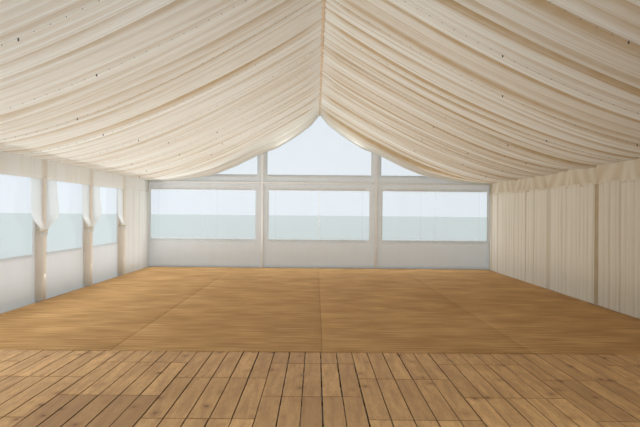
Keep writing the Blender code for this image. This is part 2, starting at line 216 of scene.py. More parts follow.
def along(points: Array) -> tuple[Array, Array, Array]:
    """Direction of a path at each point, with two directions square to it.

    Formula: the second direction is the path's crossed with the world axis that it is least along,
    and the third is square to both.

    Args:
        points: The path's points, one row each.

    Returns:
        The three directions at each point, each of length 1.
    """
    ahead = np.gradient(points, axis=0)
    ahead /= np.linalg.norm(ahead, axis=1, keepdims=True)
    axis = np.eye(3)[np.argmin(np.abs(ahead).sum(0))]
    side = np.cross(ahead, axis)
    side /= np.linalg.norm(side, axis=1, keepdims=True)
    return ahead, side, np.cross(ahead, side)


def tube(path: Array, radius: float | Array, sides: int) -> Surface:
    """A round rod along a path, closed at both ends.

    Formula: path point plus radius times (cos a times side, sin a times up), a from 0 to a full turn.
    Each end has a last ring of almost no radius.

    Args:
        path: The middle line's points.
        radius: One radius, or one for each point.
        sides: Sides of the rod.

    Returns:
        The rod.
    """
    path = np.asarray(path, float)
    _, side, up = along(path)
    reach = np.broadcast_to(np.asarray(radius, float), (len(path),))
    path = np.concatenate([path[:1], path, path[-1:]])
    side, up = (np.concatenate([a[:1], a, a[-1:]]) for a in (side, up))
    reach = np.concatenate([[reach[0] * 1e-3], reach, [reach[-1] * 1e-3]])
    angle = np.arange(sides) * 2 * math.pi / sides
    ring = np.cos(angle)[None, :, None] * side[:, None, :] + np.sin(angle)[None, :, None] * up[:, None, :]
    points = path[:, None, :] + ring * reach[:, None, None]
    return Surface(points.reshape(-1, 3), grid_quads(len(path), sides, round_columns=True))


def blocks(low: Array, high: Array, bevel: float = 0.0, **marks: Array) -> Surface:
    """Rectangular blocks between pairs of corners, with a small slope round their top edges.

    Formula: three rings of four corners a block, at the bottom, at the top less the bevel, and at the
    top set in by the bevel, with the bottom and top closed.

    Args:
        low: Lowest corners, one row a block.
        high: Highest corners, one row a block.
        bevel: Width of the slope.
        marks: One value a block.

    Returns:
        All the blocks as one surface.
    """
    low, high = np.atleast_2d(low).astype(float), np.atleast_2d(high).astype(float)
    count = len(low)
    corner = np.array([[0, 0], [1, 0], [1, 1], [0, 1]], float)
    span = high - low
    flat = low[:, None, :2] + corner[None] * span[:, None, :2]
    inset = low[:, None, :2] + bevel + corner[None] * (span[:, None, :2] - 2 * bevel)
    rings = []
    for plan, height in ((flat, low[:, 2]), (flat, high[:, 2] - bevel), (inset, high[:, 2])):
        rings.append(np.concatenate([plan, np.broadcast_to(height[:, None, None], (count, 4, 1))], 2))
    points = np.stack(rings, 1)
    ring_quads = grid_quads(3, 4, round_columns=True)
    caps = np.array([[3, 2, 1, 0], [8, 9, 10, 11]])
    one = np.concatenate([ring_quads, caps])
    quads = (one[None] + 12 * np.arange(count)[:, None, None]).reshape(-1, 4)
    spread = {name: np.repeat(np.asarray(v, float), 12) for name, v in marks.items()}
    return Surface(points.reshape(-1, 3), quads, None, spread)


def make_piece(
    name: str,
    surface: Surface,
    finish: bpy.types.Material,
    replaces: Sequence[str] = (),
    smooth: bool = True,
    thickness: float = 0.0,
) -> bpy.types.Object:
    """A mesh object at the origin that moves with the tent.

    Args:
        name: Name of the piece.
        surface: Its mesh.
        finish: Its material.
        replaces: CAD nodes that it stands for.
        smooth: Whether its faces are shaded as one curve.
        thickness: Where given, the sheet is thickened by this much, half to each side.

    Returns:
        The object.
    """
    mesh = bpy.data.meshes.new(name)
    count = len(surface.quads)
    mesh.vertices.add(len(surface.points))
    mesh.vertices.foreach_set("co", surface.points.astype(np.float32).ravel())
    mesh.loops.add(count * 4)
    mesh.polygons.add(count)
    mesh.polygons.foreach_set("loop_start", np.arange(count, dtype=np.int32) * 4)
    mesh.loops.foreach_set("vertex_index", surface.quads.astype(np.int32).ravel())
    mesh.update(calc_edges=True)
    if surface.uv is not None:
        layer = mesh.uv_layers.new(name="cloth")
        layer.data.foreach_set("uv", surface.uv[surface.quads.ravel()].astype(np.float32).ravel())
    for mark, values in surface.marks.items():
        attribute = mesh.attributes.new(mark, "FLOAT", "POINT")
        attribute.data.foreach_set("value", values.astype(np.float32))
    mesh.materials.append(finish)
    mesh.polygons.foreach_set("use_smooth", np.full(count, smooth))
    mesh.validate()
    piece = bpy.data.objects.new(name, mesh)
    bpy.context.scene.collection.objects.link(piece)
    if thickness:
        solid = piece.modifiers.new("thickness", "SOLIDIFY")
        solid.thickness = thickness
        solid.offset = 0.0
    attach(piece, "root")
    if replaces:
        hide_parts(*replaces)
    log.info("%s: %d faces", name, count)
    return piece


class Noise:
    """Smooth seeded waves for cloth, the same each run."""

    def __init__(self, seed: int) -> None:
        """Start from a seed."""
        self.random = np.random.default_rng(seed)

    def wander(self, t: Array, step: float, height: float) -> Array:
        """A line that wanders.

        Formula: random values from -1 to 1 every step, joined by smooth curves, times height.

        Args:
            t: Places along the line.
            step: Distance between two random values.
            height: Furthest that the line goes to either side.

        Returns:
            The line's height at each place.
        """
        t = np.asarray(t, float) / step
        first = math.floor(t.min()) - 1
        values = self.random.uniform(-1, 1, int(math.ceil(t.max())) - first + 3)
        cell = np.floor(t).astype(int)
        share = t - cell
        share = share * share * (3 - 2 * share)
        at = cell - first
        return height * (values[at] * (1 - share) + values[at + 1] * share)

    def gaps(self, start: float, end: float, smallest: float, largest: float) -> Array:
        """Places from start to end, with random gaps between the two sizes.

        Formula: the running sum of random gaps, scaled so that the last place is at the end.

        Args:
            start: The first place.
            end: The last place.
            smallest: Smallest gap before the scaling.
            largest: Largest gap before the scaling.

        Returns:
            The places, in order.
        """
        count = int((end - start) / ((smallest + largest) / 2)) + 1
        steps = self.random.uniform(smallest, largest, count)
        places = np.concatenate([[0], np.cumsum(steps)])
        return start + places * (end - start) / places[-1]


def folds(
    t: Array, creases: Array, depths: Array, roundness: float = 2.4, shade: float = 0.0
) -> tuple[Array, Array]:
    """Rounded folds between creases.

    Formula: between two creases, depth times (1 minus the distance from the fold's middle, as a
    share of its half width, to the power of the roundness). A second value, painted shade, rises to 1
    at the creases of the deepest folds, and behind each crease it falls away softly over the shade's width.

    Args:
        t: Places along the cloth.
        creases: Where the creases are, in order.
        depths: Depth of the fold after each crease.
        roundness: Power that sets how full a fold is.
        shade: Width of the painted shade behind each crease, m.

    Returns:
        How far the cloth bulges at each place, and its painted shade near the creases.
    """
    number = np.clip(np.searchsorted(creases, t, side="right") - 1, 0, len(creases) - 2)
    width = creases[number + 1] - creases[number]
    from_middle = np.abs(2 * (t - creases[number]) / width - 1)
    bulge = depths[number] * (1 - from_middle**roundness)
    strength = np.clip(depths[number] / max(depths.max(), 1e-6), 0, 1)
    # Painted shade: darkest at the creases of the deepest folds.
    near = np.clip(from_middle, 0, 1) ** 5 * strength
    if shade:
        near = np.maximum(near, strength**2 * np.exp(-(((t - creases[number]) / shade) ** 2)))
    return bulge, near


def smooth_step(t: Array, start: float, end: float) -> Array:
    """A step from 0 at start to 1 at end: three times the share's square less twice its cube."""
    share = np.clip((np.asarray(t, float) - start) / (end - start), 0, 1)
    return share * share * (3 - 2 * share)


class Nodes:
    """A short hand for the nodes of one material."""

    def __init__(self, name: str) -> None:
        """Start an empty material.

        Args:
            name: The material's name.
        """
        self.material = bpy.data.materials.new(name)
        self.material.use_nodes = True
        self.tree = self.material.node_tree
        self.shader = self.tree.nodes["Principled BSDF"]
        self.output = self.tree.nodes["Material Output"]

    def add(self, kind: str, links: dict | None = None, **settings: object) -> bpy.types.Node:
        """A node.

        Args:
            kind: Its type.
            links: What goes into its sockets: values, or other nodes' sockets.
            settings: Its own settings.

        Returns:
            The node.
        """
        node = self.tree.nodes.new(kind)
        for name, value in settings.items():
            setattr(node, name, value)
        for socket, value in (links or {}).items():
            if isinstance(value, bpy.types.NodeSocket):
                self.tree.links.new(value, node.inputs[socket])
            else:
                node.inputs[socket].default_value = value
        return node

    def set(self, **values: object) -> None:
        """Set the main shader's inputs.

        Args:
            values: Values or sockets by the input's name, its spaces written as underscores.
        """
        for name, value in values.items():
            socket = self.shader.inputs[name.replace("_", " ")]
            if isinstance(value, bpy.types.NodeSocket):
                self.tree.links.new(value, socket)
            else:
                socket.default_value = value

    def place(self, scale: tuple[float, float, float] = (1, 1, 1)) -> bpy.types.NodeSocket:
        """The place in the tent, in metres, scaled along each axis."""
        where = self.add("ShaderNodeTexCoord").outputs["Object"]
        return self.add("ShaderNodeMapping", {"Vector": where, "Scale": scale}).outputs[0]

    def cloth(self, scale: tuple[float, float, float] = (1, 1, 1)) -> bpy.types.NodeSocket:
        """The place on the cloth, in metres, from its UV map."""
        where = self.add("ShaderNodeUVMap", uv_map="cloth").outputs[0]
        return self.add("ShaderNodeMapping", {"Vector": where, "Scale": scale}).outputs[0]

    def mark(self, name: str) -> bpy.types.NodeSocket:
        """A value that each point carries."""
        return self.add("ShaderNodeAttribute", attribute_name=name).outputs["Fac"]

    def noise(self, where: bpy.types.NodeSocket, scale: float, detail: float = 3.0) -> bpy.types.NodeSocket:
        """Cloudy noise from 0 to 1."""
        links = {"Vector": where, "Scale": scale, "Detail": detail}
        return self.add("ShaderNodeTexNoise", links).outputs["Fac"]

    def waves(self, where: bpy.types.NodeSocket, scale: float, turn: str = "X") -> bpy.types.NodeSocket:
        """Even ridges across one axis, as threads are."""
        links = {"Vector": where, "Scale": scale, "Distortion": 0.3, "Detail": 1.0}
        return self.add("ShaderNodeTexWave", links, bands_direction=turn).outputs["Fac"]

    def math(self, what: str, a: object, b: object = 0.0) -> bpy.types.NodeSocket:
        """A sum, product or other result of two values."""
        return self.add("ShaderNodeMath", {0: a, 1: b}, operation=what).outputs[0]

    def between(self, share: object, low: float, high: float) -> bpy.types.NodeSocket:
        """The share of 0 to 1 spread from low to high."""
        return self.add("ShaderNodeMapRange", {"Value": share, "To Min": low, "To Max": high}).outputs[0]

    def picked(
        self, value: object, start: float, end: float, low: float = 0.0, high: float = 1.0
    ) -> bpy.types.NodeSocket:
        """A part of a value's range, from start to end, spread from low to high."""
        links = {"Value": value, "From Min": start, "From Max": end, "To Min": low, "To Max": high}
        return self.add("ShaderNodeMapRange", links).outputs[0]

    def mix(self, share: object, first: object, second: object) -> bpy.types.NodeSocket:
        """A colour between two.

        Args:
            share: Share of the second colour.
            first: A colour or socket.
            second: A colour or socket.

        Returns:
            The mixed colour's socket.
        """
        colours = [(*c, 1.0) if isinstance(c, tuple) and len(c) == 3 else c for c in (first, second)]
        links = {"Factor": share, 6: colours[0], 7: colours[1]}
        return self.add("ShaderNodeMix", links, data_type="RGBA").outputs[2]

    def bump(self, height: object, distance: float, strength: float = 1.0) -> None:
        """Small relief on the main shader, in metres."""
        links = {"Height": height, "Distance": distance, "Strength": strength}
        self.set(Normal=self.add("ShaderNodeBump", links).outputs[0])

    def let_light_through(self, share: float, colour: bpy.types.NodeSocket) -> None:
        """Mix the main shader with light that comes through the cloth from behind.

        Args:
            share: Share of the light from behind.
            colour: The cloth's colour.
        """
        behind = self.add("ShaderNodeBsdfTranslucent", {"Color": colour}).outputs[0]
        links = {0: share, 1: self.shader.outputs[0], 2: behind}
        mixed = self.add("ShaderNodeMixShader", links).outputs[0]
        self.tree.links.new(mixed, self.output.inputs["Surface"])


@dataclass(frozen=True)
class LiningCloth:
    """Ivory lining: a fine weave that lets some daylight through, with tan painted shade in its folds."""

    name: str
    light: tuple = (0.895, 0.905, 0.86)
    # Colour of the painted shade in the creases.
    crease_shade: tuple = (0.50, 0.335, 0.15)
    through: float = 0.22

    def make(self) -> bpy.types.Material:
        """Make the finish. Its colour goes from light to the crease colour, which is painted shade, by the
        cloth's own fold mark.

        Returns:
            The material.
        """
        n = Nodes(self.name)
        cloth = n.cloth()
        cloud = n.noise(cloth, 1.7, 3.0)
        pale = n.mix(cloud, self.light, tuple(c * 0.94 for c in self.light))
        # Painted shade in the creases, by the fold mark, made patchy by noise.
        depth = n.math("MULTIPLY", n.mark("fold"), n.between(n.noise(cloth, 5.0, 2.0), 0.7, 1.05))
        colour = n.mix(depth, pale, self.crease_shade)
        # Thin streaks of painted shade along the fine creases.
        fine_crease_shade = n.picked(n.noise(n.cloth((30.0, 0.55, 1.0)), 1.0, 2.0), 0.50, 0.68, 0.0, 0.30)
        colour = n.mix(fine_crease_shade, colour, self.crease_shade)
        threads = n.math("ADD", n.waves(cloth, 260.0, "X"), n.waves(cloth, 240.0, "Y"))
        creases = n.math("MULTIPLY", n.noise(n.cloth((30.0, 0.9, 1.0)), 1.0, 3.0), 9.0)
        n.bump(n.math("ADD", threads, creases), 0.0012, 0.5)
        n.set(Base_Color=colour, Roughness=0.86, Sheen_Weight=0.18, Sheen_Roughness=0.5)
        n.let_light_through(self.through, colour)
        return n.material


@dataclass(frozen=True)
class Voile:
    """Thin white voile: light shows through, and through its open weave a little of what is behind."""

    name: str
    colour: tuple = (0.93, 0.93, 0.92)
    # Colour of the painted shade at the creases.
    fold_shade_colour: tuple = (0.74, 0.71, 0.67)
    through: float = 0.72
    open_weave: float = 0.22

    def make(self) -> bpy.types.Material:
        """Make the finish, more open between its folds, with painted shade at its creases.

        Returns:
            The material.
        """
        n = Nodes(self.name)
        cloth = n.cloth()
        # Painted shade at the creases, by the fold mark.
        shade = n.math("MULTIPLY", n.mark("fold"), 0.55)
        colour = n.mix(shade, self.colour, self.fold_shade_colour)
        n.bump(n.math("ADD", n.waves(cloth, 420.0, "X"), n.waves(cloth, 400.0, "Y")), 0.0006, 0.4)
        n.set(Base_Color=colour, Roughness=0.8, Sheen_Weight=0.25, Sheen_Roughness=0.4)
        n.set(Alpha=n.between(n.mark("fold"), 1.0 - self.open_weave, 1.0))
        n.let_light_through(self.through, colour)
        return n.material


@dataclass(frozen=True)
class CoatedSheet:
    """White coated sheet: smooth and slightly glossy, with a fine weave under the coat."""

    name: str
    colour: tuple = (0.88, 0.885, 0.89)
    through: float = 0.52

    def make(self) -> bpy.types.Material:
        """Make the finish, with faint dirt in clouds and down the sheet.

        Returns:
            The material.
        """
        n = Nodes(self.name)
        cloth = n.cloth()
        dirt = n.math("MULTIPLY", n.noise(cloth, 2.3, 5.0), n.noise(n.cloth((9.0, 0.7, 1.0)), 1.0, 4.0))
        colour = n.mix(dirt, self.colour, (0.80, 0.79, 0.76))
        weave = n.math("ADD", n.waves(cloth, 180.0, "X"), n.waves(cloth, 180.0, "Y"))
        wrinkles = n.math("MULTIPLY", n.noise(cloth, 3.0, 4.0), 8.0)
        n.bump(n.math("ADD", weave, wrinkles), 0.0008, 0.35)
        n.set(Base_Color=colour, Roughness=n.between(n.noise(cloth, 6.0, 3.0), 0.34, 0.52))
        n.let_light_through(self.through, colour)
        return n.material


@dataclass(frozen=True)
class ClearFilm:
    """Clear flexible window film: mostly see-through, glossy and slightly wavy."""

    name: str
    tint: tuple = (0.93, 0.96, 0.97)

    def make(self) -> bpy.types.Material:
        """Make the finish: light passes straight through, with a gloss that grows at a slant.

        Returns:
            The material.
        """
        n = Nodes(self.name)
        cloth = n.cloth((1.0, 0.45, 1.0))
        n.bump(n.noise(cloth, 4.0, 2.0), 0.004, 0.5)
        n.set(Base_Color=(*self.tint, 1.0), Roughness=0.06, IOR=1.5)
        hazy = n.between(n.noise(cloth, 1.6, 4.0), 0.08, 0.20)
        n.set(Alpha=n.math("ADD", hazy, n.math("MULTIPLY", n.mark("weld"), 0.35)))
        return n.material


@dataclass(frozen=True)
class Aluminium:
    """Mill-finish aluminium: drawn along its length, dull, with fine scratches."""

    name: str
    colour: tuple = (0.76, 0.755, 0.74)
    rough: float = 0.42

    def make(self) -> bpy.types.Material:
        """Make the finish.

        Returns:
            The material.
        """
        n = Nodes(self.name)
        where = n.place()
        cloud = n.noise(where, 9.0, 5.0)
        colour = n.mix(cloud, self.colour, tuple(c * 0.86 for c in self.colour))
        drawn = n.noise(n.place((160.0, 160.0, 3.0)), 1.0, 2.0)
        n.bump(drawn, 0.0003, 0.3)
        rough = n.between(n.noise(where, 26.0, 3.0), self.rough - 0.08, self.rough + 0.12)
        n.set(Base_Color=colour, Metallic=0.7, Roughness=rough)
        return n.material


@dataclass(frozen=True)
class Steel:
    """Galvanised steel of stakes and bolts: grey and mottled."""

    name: str

    def make(self) -> bpy.types.Material:
        """Make the finish.

        Returns:
            The material.
        """
        n = Nodes(self.name)
        where = n.place()
        spots = n.add("ShaderNodeTexVoronoi", {"Vector": where, "Scale": 70.0}).outputs["Distance"]
        colour = n.mix(spots, (0.50, 0.52, 0.53), (0.36, 0.37, 0.38))
        n.bump(n.noise(where, 120.0, 3.0), 0.0004, 0.4)
        n.set(Base_Color=colour, Metallic=0.85, Roughness=n.between(spots, 0.38, 0.6))
        return n.material


@dataclass(frozen=True)
class PineBoards:
    """Worn sawn softwood: grain along each board, its own tone, and knots."""

    name: str
    pale: tuple = (0.80, 0.485, 0.205)
    dark: tuple = (0.31, 0.150, 0.052)
    grain_axis: str = "Y"
    fibre: tuple = (0.66, 0.45, 0.25)
    knot: tuple = (0.16, 0.085, 0.04)
    dirt: tuple = (0.27, 0.17, 0.09)
    gap_shade: tuple = (0.09, 0.052, 0.03)

    def make(self) -> bpy.types.Material:
        """Make the finish. Each board's tone mark also shifts its grain, and its sides below the top carry
        painted shade, much darker, as in the gaps between boards.

        Returns:
            The material.
        """
        n = Nodes(self.name)
        tone = n.mark("tone")
        long = (13.0, 0.9, 13.0) if self.grain_axis == "Y" else (0.9, 13.0, 13.0)
        shift = n.add("ShaderNodeCombineXYZ", {"X": n.math("MULTIPLY", tone, 37.0), "Y": tone, "Z": tone})
        links = {0: n.place(long), 1: shift.outputs[0]}
        where = n.add("ShaderNodeVectorMath", links, operation="ADD").outputs[0]
        rings = n.picked(n.noise(where, 1.6, 4.0), 0.38, 0.64)
        fibre = n.noise(n.place(tuple(v * 9.0 for v in long)), 1.0, 3.0)
        wood = n.mix(n.math("MULTIPLY", rings, 0.52), self.pale, self.dark)
        wood = n.mix(n.between(tone, 0.0, 0.85), wood, tuple(c * 0.75 for c in self.dark))
        wood = n.mix(n.math("MULTIPLY", fibre, 0.30), wood, self.fibre)
        wood = n.mix(n.picked(fibre, 0.52, 0.66, 0.0, 0.42), wood, self.dark)
        short = (9.0, 4.2, 9.0) if self.grain_axis == "Y" else (4.2, 9.0, 9.0)
        spots = n.add("ShaderNodeTexVoronoi", {"Vector": n.place(short), "Scale": 0.55}).outputs["Distance"]
        wood = n.mix(n.picked(spots, 0.08, 0.30, 0.55, 0.0), wood, self.dark)
        wood = n.mix(n.picked(spots, 0.05, 0.11, 0.85, 0.0), wood, self.knot)
        dirt = n.noise(n.place(), 3.2, 5.0)
        wood = n.mix(n.math("MULTIPLY", dirt, 0.30), wood, self.dirt)
        height = n.add("ShaderNodeSeparateXYZ", {"Vector": n.place()}).outputs["Z"]
        # Painted shade on the boards' sides below the top, in the gaps between them.
        below_top = n.picked(height, TENT.floor_top - 0.0036, TENT.floor_top - 0.0016, 0.72, 0.0)
        wood = n.mix(below_top, wood, self.gap_shade)
        n.bump(n.math("ADD", rings, n.math("MULTIPLY", fibre, 0.6)), 0.0012, 0.5)
        n.set(Base_Color=wood, Roughness=n.between(fibre, 0.6, 0.85), Specular_IOR_Level=0.22)
        return n.material


@dataclass(frozen=True)
class Coir:
    """Woven coconut matting: coarse ribs across the roll, mixed straw and brown fibres."""

    name: str
    pale: tuple = (0.80, 0.50, 0.22)
    dark: tuple = (0.38, 0.205, 0.075)
    # Colour of the painted light on the pale rows.
    lit_row: tuple = (0.90, 0.62, 0.30)

    def make(self) -> bpy.types.Material:
        """Make the finish, with ribs across and painted shade in the grooves between them, threads along the
        roll, and rows of painted light and shade for small waves across.

        Returns:
            The material.
        """
        n = Nodes(self.name)
        where = n.place()
        ribs = n.waves(where, 35.0, "Y")
        warp = n.waves(where, 22.0, "X")
        fibres = n.noise(n.place((240.0, 90.0, 90.0)), 1.0, 3.0)
        cloud = n.noise(where, 1.3, 5.0)
        weave = n.math("MULTIPLY", ribs, n.between(warp, 0.5, 1.0))
        rows = n.noise(n.place((1.7, 26.0, 1.0)), 1.0, 4.0)
        patches = n.picked(cloud, 0.36, 0.64)
        colour = n.mix(n.math("MULTIPLY", n.math("ADD", fibres, patches), 0.5), self.dark, self.pale)
        # Pale rows of painted light on the small waves across the roll.
        colour = n.mix(n.picked(rows, 0.47, 0.33, 0.0, 0.45), colour, self.lit_row)
        # Painted shade in the grooves between the ribs.
        colour = n.mix(n.between(weave, 0.35, 0.0), colour, self.dark)
        # Dark rows of painted shade in the small waves across the roll.
        colour = n.mix(n.picked(rows, 0.46, 0.66, 0.0, 0.80), colour, self.dark)
        n.bump(n.math("ADD", weave, fibres), 0.004, 0.8)
        n.set(Base_Color=colour, Roughness=0.94, Specular_IOR_Level=0.12)
        return n.material


@dataclass(frozen=True)
class Moulded:
    """Moulded or rubbery small parts: bulbs, cable and rope edges."""

    name: str
    colour: tuple
    rough: float = 0.45

    def make(self) -> bpy.types.Material:
        """Make the finish, with faint mottling and fine grain.

        Returns:
            The material.
        """
        n = Nodes(self.name)
        where = n.place()
        n.bump(n.noise(where, 400.0, 2.0), 0.0002, 0.3)
        colour = n.mix(n.noise(where, 40.0, 3.0), self.colour, tuple(c * 0.8 for c in self.colour))
        n.set(Base_Color=colour, Roughness=self.rough)
        return n.material


@dataclass
class Finishes:
    """Every finish of the tent, made once."""

    def __post_init__(self) -> None:
        """Make the materials."""
        # Each tan is the colour of the painted shade in a cloth's creases. The wall lining's ivory is darker
        # than the roof lining's, as painted shade on the right wall.
        ivory, tan = (0.765, 0.71, 0.61), (0.40, 0.30, 0.17)
        self.lining = LiningCloth("ivory_lining").make()
        self.wall_lining = LiningCloth("ivory_wall_lining", ivory, tan, 0.18).make()
        # The right valance's ivory is darker, as painted shade.
        ivory, tan = (0.80, 0.735, 0.61), (0.54, 0.41, 0.24)
        self.valance = LiningCloth("ivory_valance", ivory, tan, 0.25).make()
        # The window side's pale valance, also used for the left end lining, is paler as painted light.
        ivory, tan = (0.95, 0.945, 0.92), (0.76, 0.66, 0.52)
        self.pale_valance = LiningCloth("pale_valance", ivory, tan, 0.50).make()
        ivory, tan = (0.96, 0.92, 0.85), (0.78, 0.65, 0.50)
        self.leg_cover = LiningCloth("ivory_leg_cover", ivory, tan, 0.40).make()
        ivory, tan = (0.66, 0.51, 0.35), (0.40, 0.27, 0.15)
        self.strip = LiningCloth("tan_ridge_strip", ivory, tan, 0.05).make()
        self.voile = Voile("white_voile").make()
        self.sheet = CoatedSheet("white_sheet").make()
        self.cover = CoatedSheet("white_roof_sheet", (0.90, 0.905, 0.91), 0.22).make()
        self.film = ClearFilm("clear_film").make()
        self.metal = Aluminium("aluminium").make()
        self.steel = Steel("galvanised_steel").make()
        self.boards = PineBoards("pine_boards").make()
        self.bearers = PineBoards("pine_bearers", (0.50, 0.34, 0.19), (0.30, 0.18, 0.09), "X").make()
        self.coir = Coir("coir_matting").make()
        self.cable = Moulded("pale_cable", (0.62, 0.58, 0.50)).make()
        self.bulb = Moulded("small_bulbs", (0.13, 0.11, 0.08), 0.25).make()
        self.rope = Moulded("edge_rope", (0.82, 0.82, 0.80), 0.5).make()


class Side(Enum):
    """The two sides of the tent. The value is the sign of X."""

    LEFT = -1
    RIGHT = 1


@dataclass(frozen=True)
class FoldLayer:
    """Folds of one size in the roof lining: their widths, their depths, and how dark their painted shade is.
    """

    width: tuple[float, float]
    depth: tuple[float, float]
    # Strength of the painted shade at the creases, and below it the painted shade's width behind them, m.
    tan: float
    shade: float


@dataclass
class RoofLining:
    """The ruched roof lining, one piece a bay, and the strip that closes it under the ridge."""

    finishes: Finishes
    columns: int = 52
    rows: int = 240
    broad: FoldLayer = FoldLayer((0.24, 0.60), (0.030, 0.062), 1.0, 0.095)
    fine: FoldLayer = FoldLayer((0.055, 0.15), (0.005, 0.014), 0.60, 0.022)
    crease_lift: float = 0.016
    scallop: float = 0.018
    strip_half: float = 0.034
    strip_thickness: float = 0.0015
    # Strengths of the painted crease shade on each side, and of the painted shade towards the near right.
    left_strength: float = 0.72
    right_strength: float = 1.22
    right_painted_shade: float = 0.36
    flat_across: float = 9.9
    gable_line: tuple[tuple[float, ...], tuple[float, ...]] = (
        (0.0, 0.205, 0.606, 1.094, 1.514, 2.14, 2.667, 3.195, 3.71, 4.3851),
        (4.005, 3.741, 3.438, 3.135, 2.979, 2.666, 2.461, 2.359, 2.300, 2.285),
    )

    def height(self, x: Array, y: Array) -> Array:
        """Height before the folds.

        Formula: the hanging curve, and from 9.35 m on drawn down to the line read at the far gable.

        Args:
            x: Places across the tent.
            y: Places along it.

        Returns:
            The height at each place.
        """
        free = TENT.lining_height(x)
        at_gable = np.interp(np.abs(x), *self.gable_line)
        share = smooth_step(y, 9.35, TENT.lining_end) ** 1.3
        return free * (1 - share) + at_gable * share

    def fold_layer(
        self, noise: Noise, layer: FoldLayer, along: Array, out: Array, ends: tuple[float, float]
    ) -> tuple[Array, Array, Array]:
        """One layer of folds on one side of a bay.

        Formula: each fold swells and thins from ridge to eaves as a sine with its own start, and
        some folds carry painted shade all over, by the root of their height.

        Args:
            noise: The side's random numbers.
            layer: The folds' sizes.
            along: Places along the tent.
            out: Distances from the ridge.
            ends: Where the bay starts and ends.

        Returns:
            The folds' height, their creases' painted shade, and the painted shade of whole folds.
        """
        creases = noise.gaps(*ends, *layer.width)
        depths = noise.random.uniform(*layer.depth, len(creases))
        fold, crease_shade = folds(along, creases, depths, shade=layer.shade)
        number = np.clip(np.searchsorted(creases, along, side="right") - 1, 0, len(creases) - 2)
        turn = noise.random.uniform(0, 6, len(creases))[number]
        swell = 0.78 + 0.22 * np.sin(out * 1.5 + turn)
        # Painted shade over some whole folds, stronger where they bulge more.
        fold_shade = 0.38 * noise.random.uniform(-0.5, 1.0, len(creases))[number].clip(0)
        fold_shade = fold_shade * np.sqrt(np.clip(fold / max(layer.depth), 0, 1))
        return fold * swell, crease_shade * layer.tan * swell, fold_shade

    def half(self, bay: int, side: Side) -> Surface:
        """One side of one bay.

        Formula: the hanging curve, moved along its normal by broad and fine folds that run from
        ridge to eaves, and let down at the right-hand edge in scallops.

        Args:
            bay: The bay's number, from the near gable.
            side: The side.

        Returns:
            The cloth, with its fold mark of painted shade.
        """
        noise = Noise(100 * bay + side.value)
        start, end = TENT.frame_y(bay), TENT.frame_y(bay + 1)
        low_y, high_y = max(start, -TENT.lining_end), min(end, TENT.lining_end)
        y = np.linspace(low_y, high_y, self.rows + 1)[:, None]
        reach = np.linspace(0, 1, self.columns + 1)[None, :]
        out = (0.7 * reach + 0.3 * reach**1.8) * TENT.lining_half_width
        x = side.value * out + 0 * y
        between = np.sin(math.pi * (y - start) / (end - start))
        drift = noise.wander(out[0], 1.3, 0.035)[None, :] * between
        along_tent = np.clip(y + drift, start, end)
        bulge, near = np.zeros_like(x), np.zeros_like(x)
        for layer in (self.broad, self.fine):
            fold, crease_shade, fold_shade = self.fold_layer(noise, layer, along_tent, out, (start, end))
            bulge, near = bulge + fold, np.maximum(near, crease_shade) + fold_shade
        at_ridge = 0.25 + 0.75 * smooth_step(out, 0.03, 0.35)
        at_edge = 1 - (0.88 if side is Side.LEFT else 0.45) * smooth_step(out, 3.9, TENT.lining_half_width)
        depth = (bulge - self.crease_lift) * at_ridge * at_edge
        z = self.height(x, y)
        slope = np.gradient(z, axis=1) / np.gradient(x, axis=1)
        norm = np.hypot(1, slope)
        points = beside(x + slope * depth / norm, y + 0 * x, z - depth / norm)
        if side is Side.RIGHT:
            hang = smooth_step(out, 3.75, TENT.lining_half_width) * bulge / max(self.broad.depth)
            points[..., 2] -= self.scallop * hang
        points[..., 0] = np.clip(points[..., 0], -TENT.lining_half_width, TENT.lining_half_width)
        length = np.cumsum(np.hypot(np.diff(out[0], prepend=0), np.diff(z[0], prepend=z[0, 0])))
        uv = beside(y * 1.12, length[None, :])
        # Painted shade: the creases are darker on the right than on the left, and the right side darkens
        # towards the near gable.
        strength, shade_gradient = self.left_strength, 0.0
        if side is Side.RIGHT:
            strength = self.right_strength
            shade_gradient = self.right_painted_shade * smooth_step(out, 0.8, 3.4) * smooth_step(-y, 1.0, 8.0)
        near = near * strength * (0.5 + 0.5 * at_ridge)
        sheet = grid(points, uv, fold=np.clip(near + shade_gradient, 0, 1))
        return sheet.turned() if side is Side.RIGHT else sheet

    def build(self) -> None:
        """Make the seven bays, the ridge strip and the small seams at the frames."""
        for bay in range(1, TENT.bays + 1):
            halves = join([self.half(bay, side) for side in Side])
            node = f"roof_lining_{bay}"
            piece = make_piece(f"ruched_lining_{bay}", halves, self.finishes.lining, [node])
        self.build_strip()
        self.build_seams()

    def build_strip(self) -> None:
        """The narrow strip under the ridge.

        Formula: a shallow trough about 70 mm wide that follows the lining's ridge line, gathered in
        small irregular folds along its length.
        """
        noise = Noise(7)
        y = np.linspace(-TENT.lining_end, TENT.lining_end, 900)[:, None]
        across = np.linspace(-1, 1, 7)[None, :]
        gathers = noise.wander(y[:, 0], 0.045, 0.0018)[:, None] + noise.wander(y[:, 0], 0.2, 0.002)[:, None]
        width = self.strip_half + noise.wander(y[:, 0], 0.35, 0.004)[:, None]
        middle = self.height(0 * y, y) - 0.024
        z = middle + 0.011 * across**2 + gathers * (1 - 0.4 * np.abs(across))
        x = across * width + noise.wander(y[:, 0], 0.8, 0.004)[:, None]
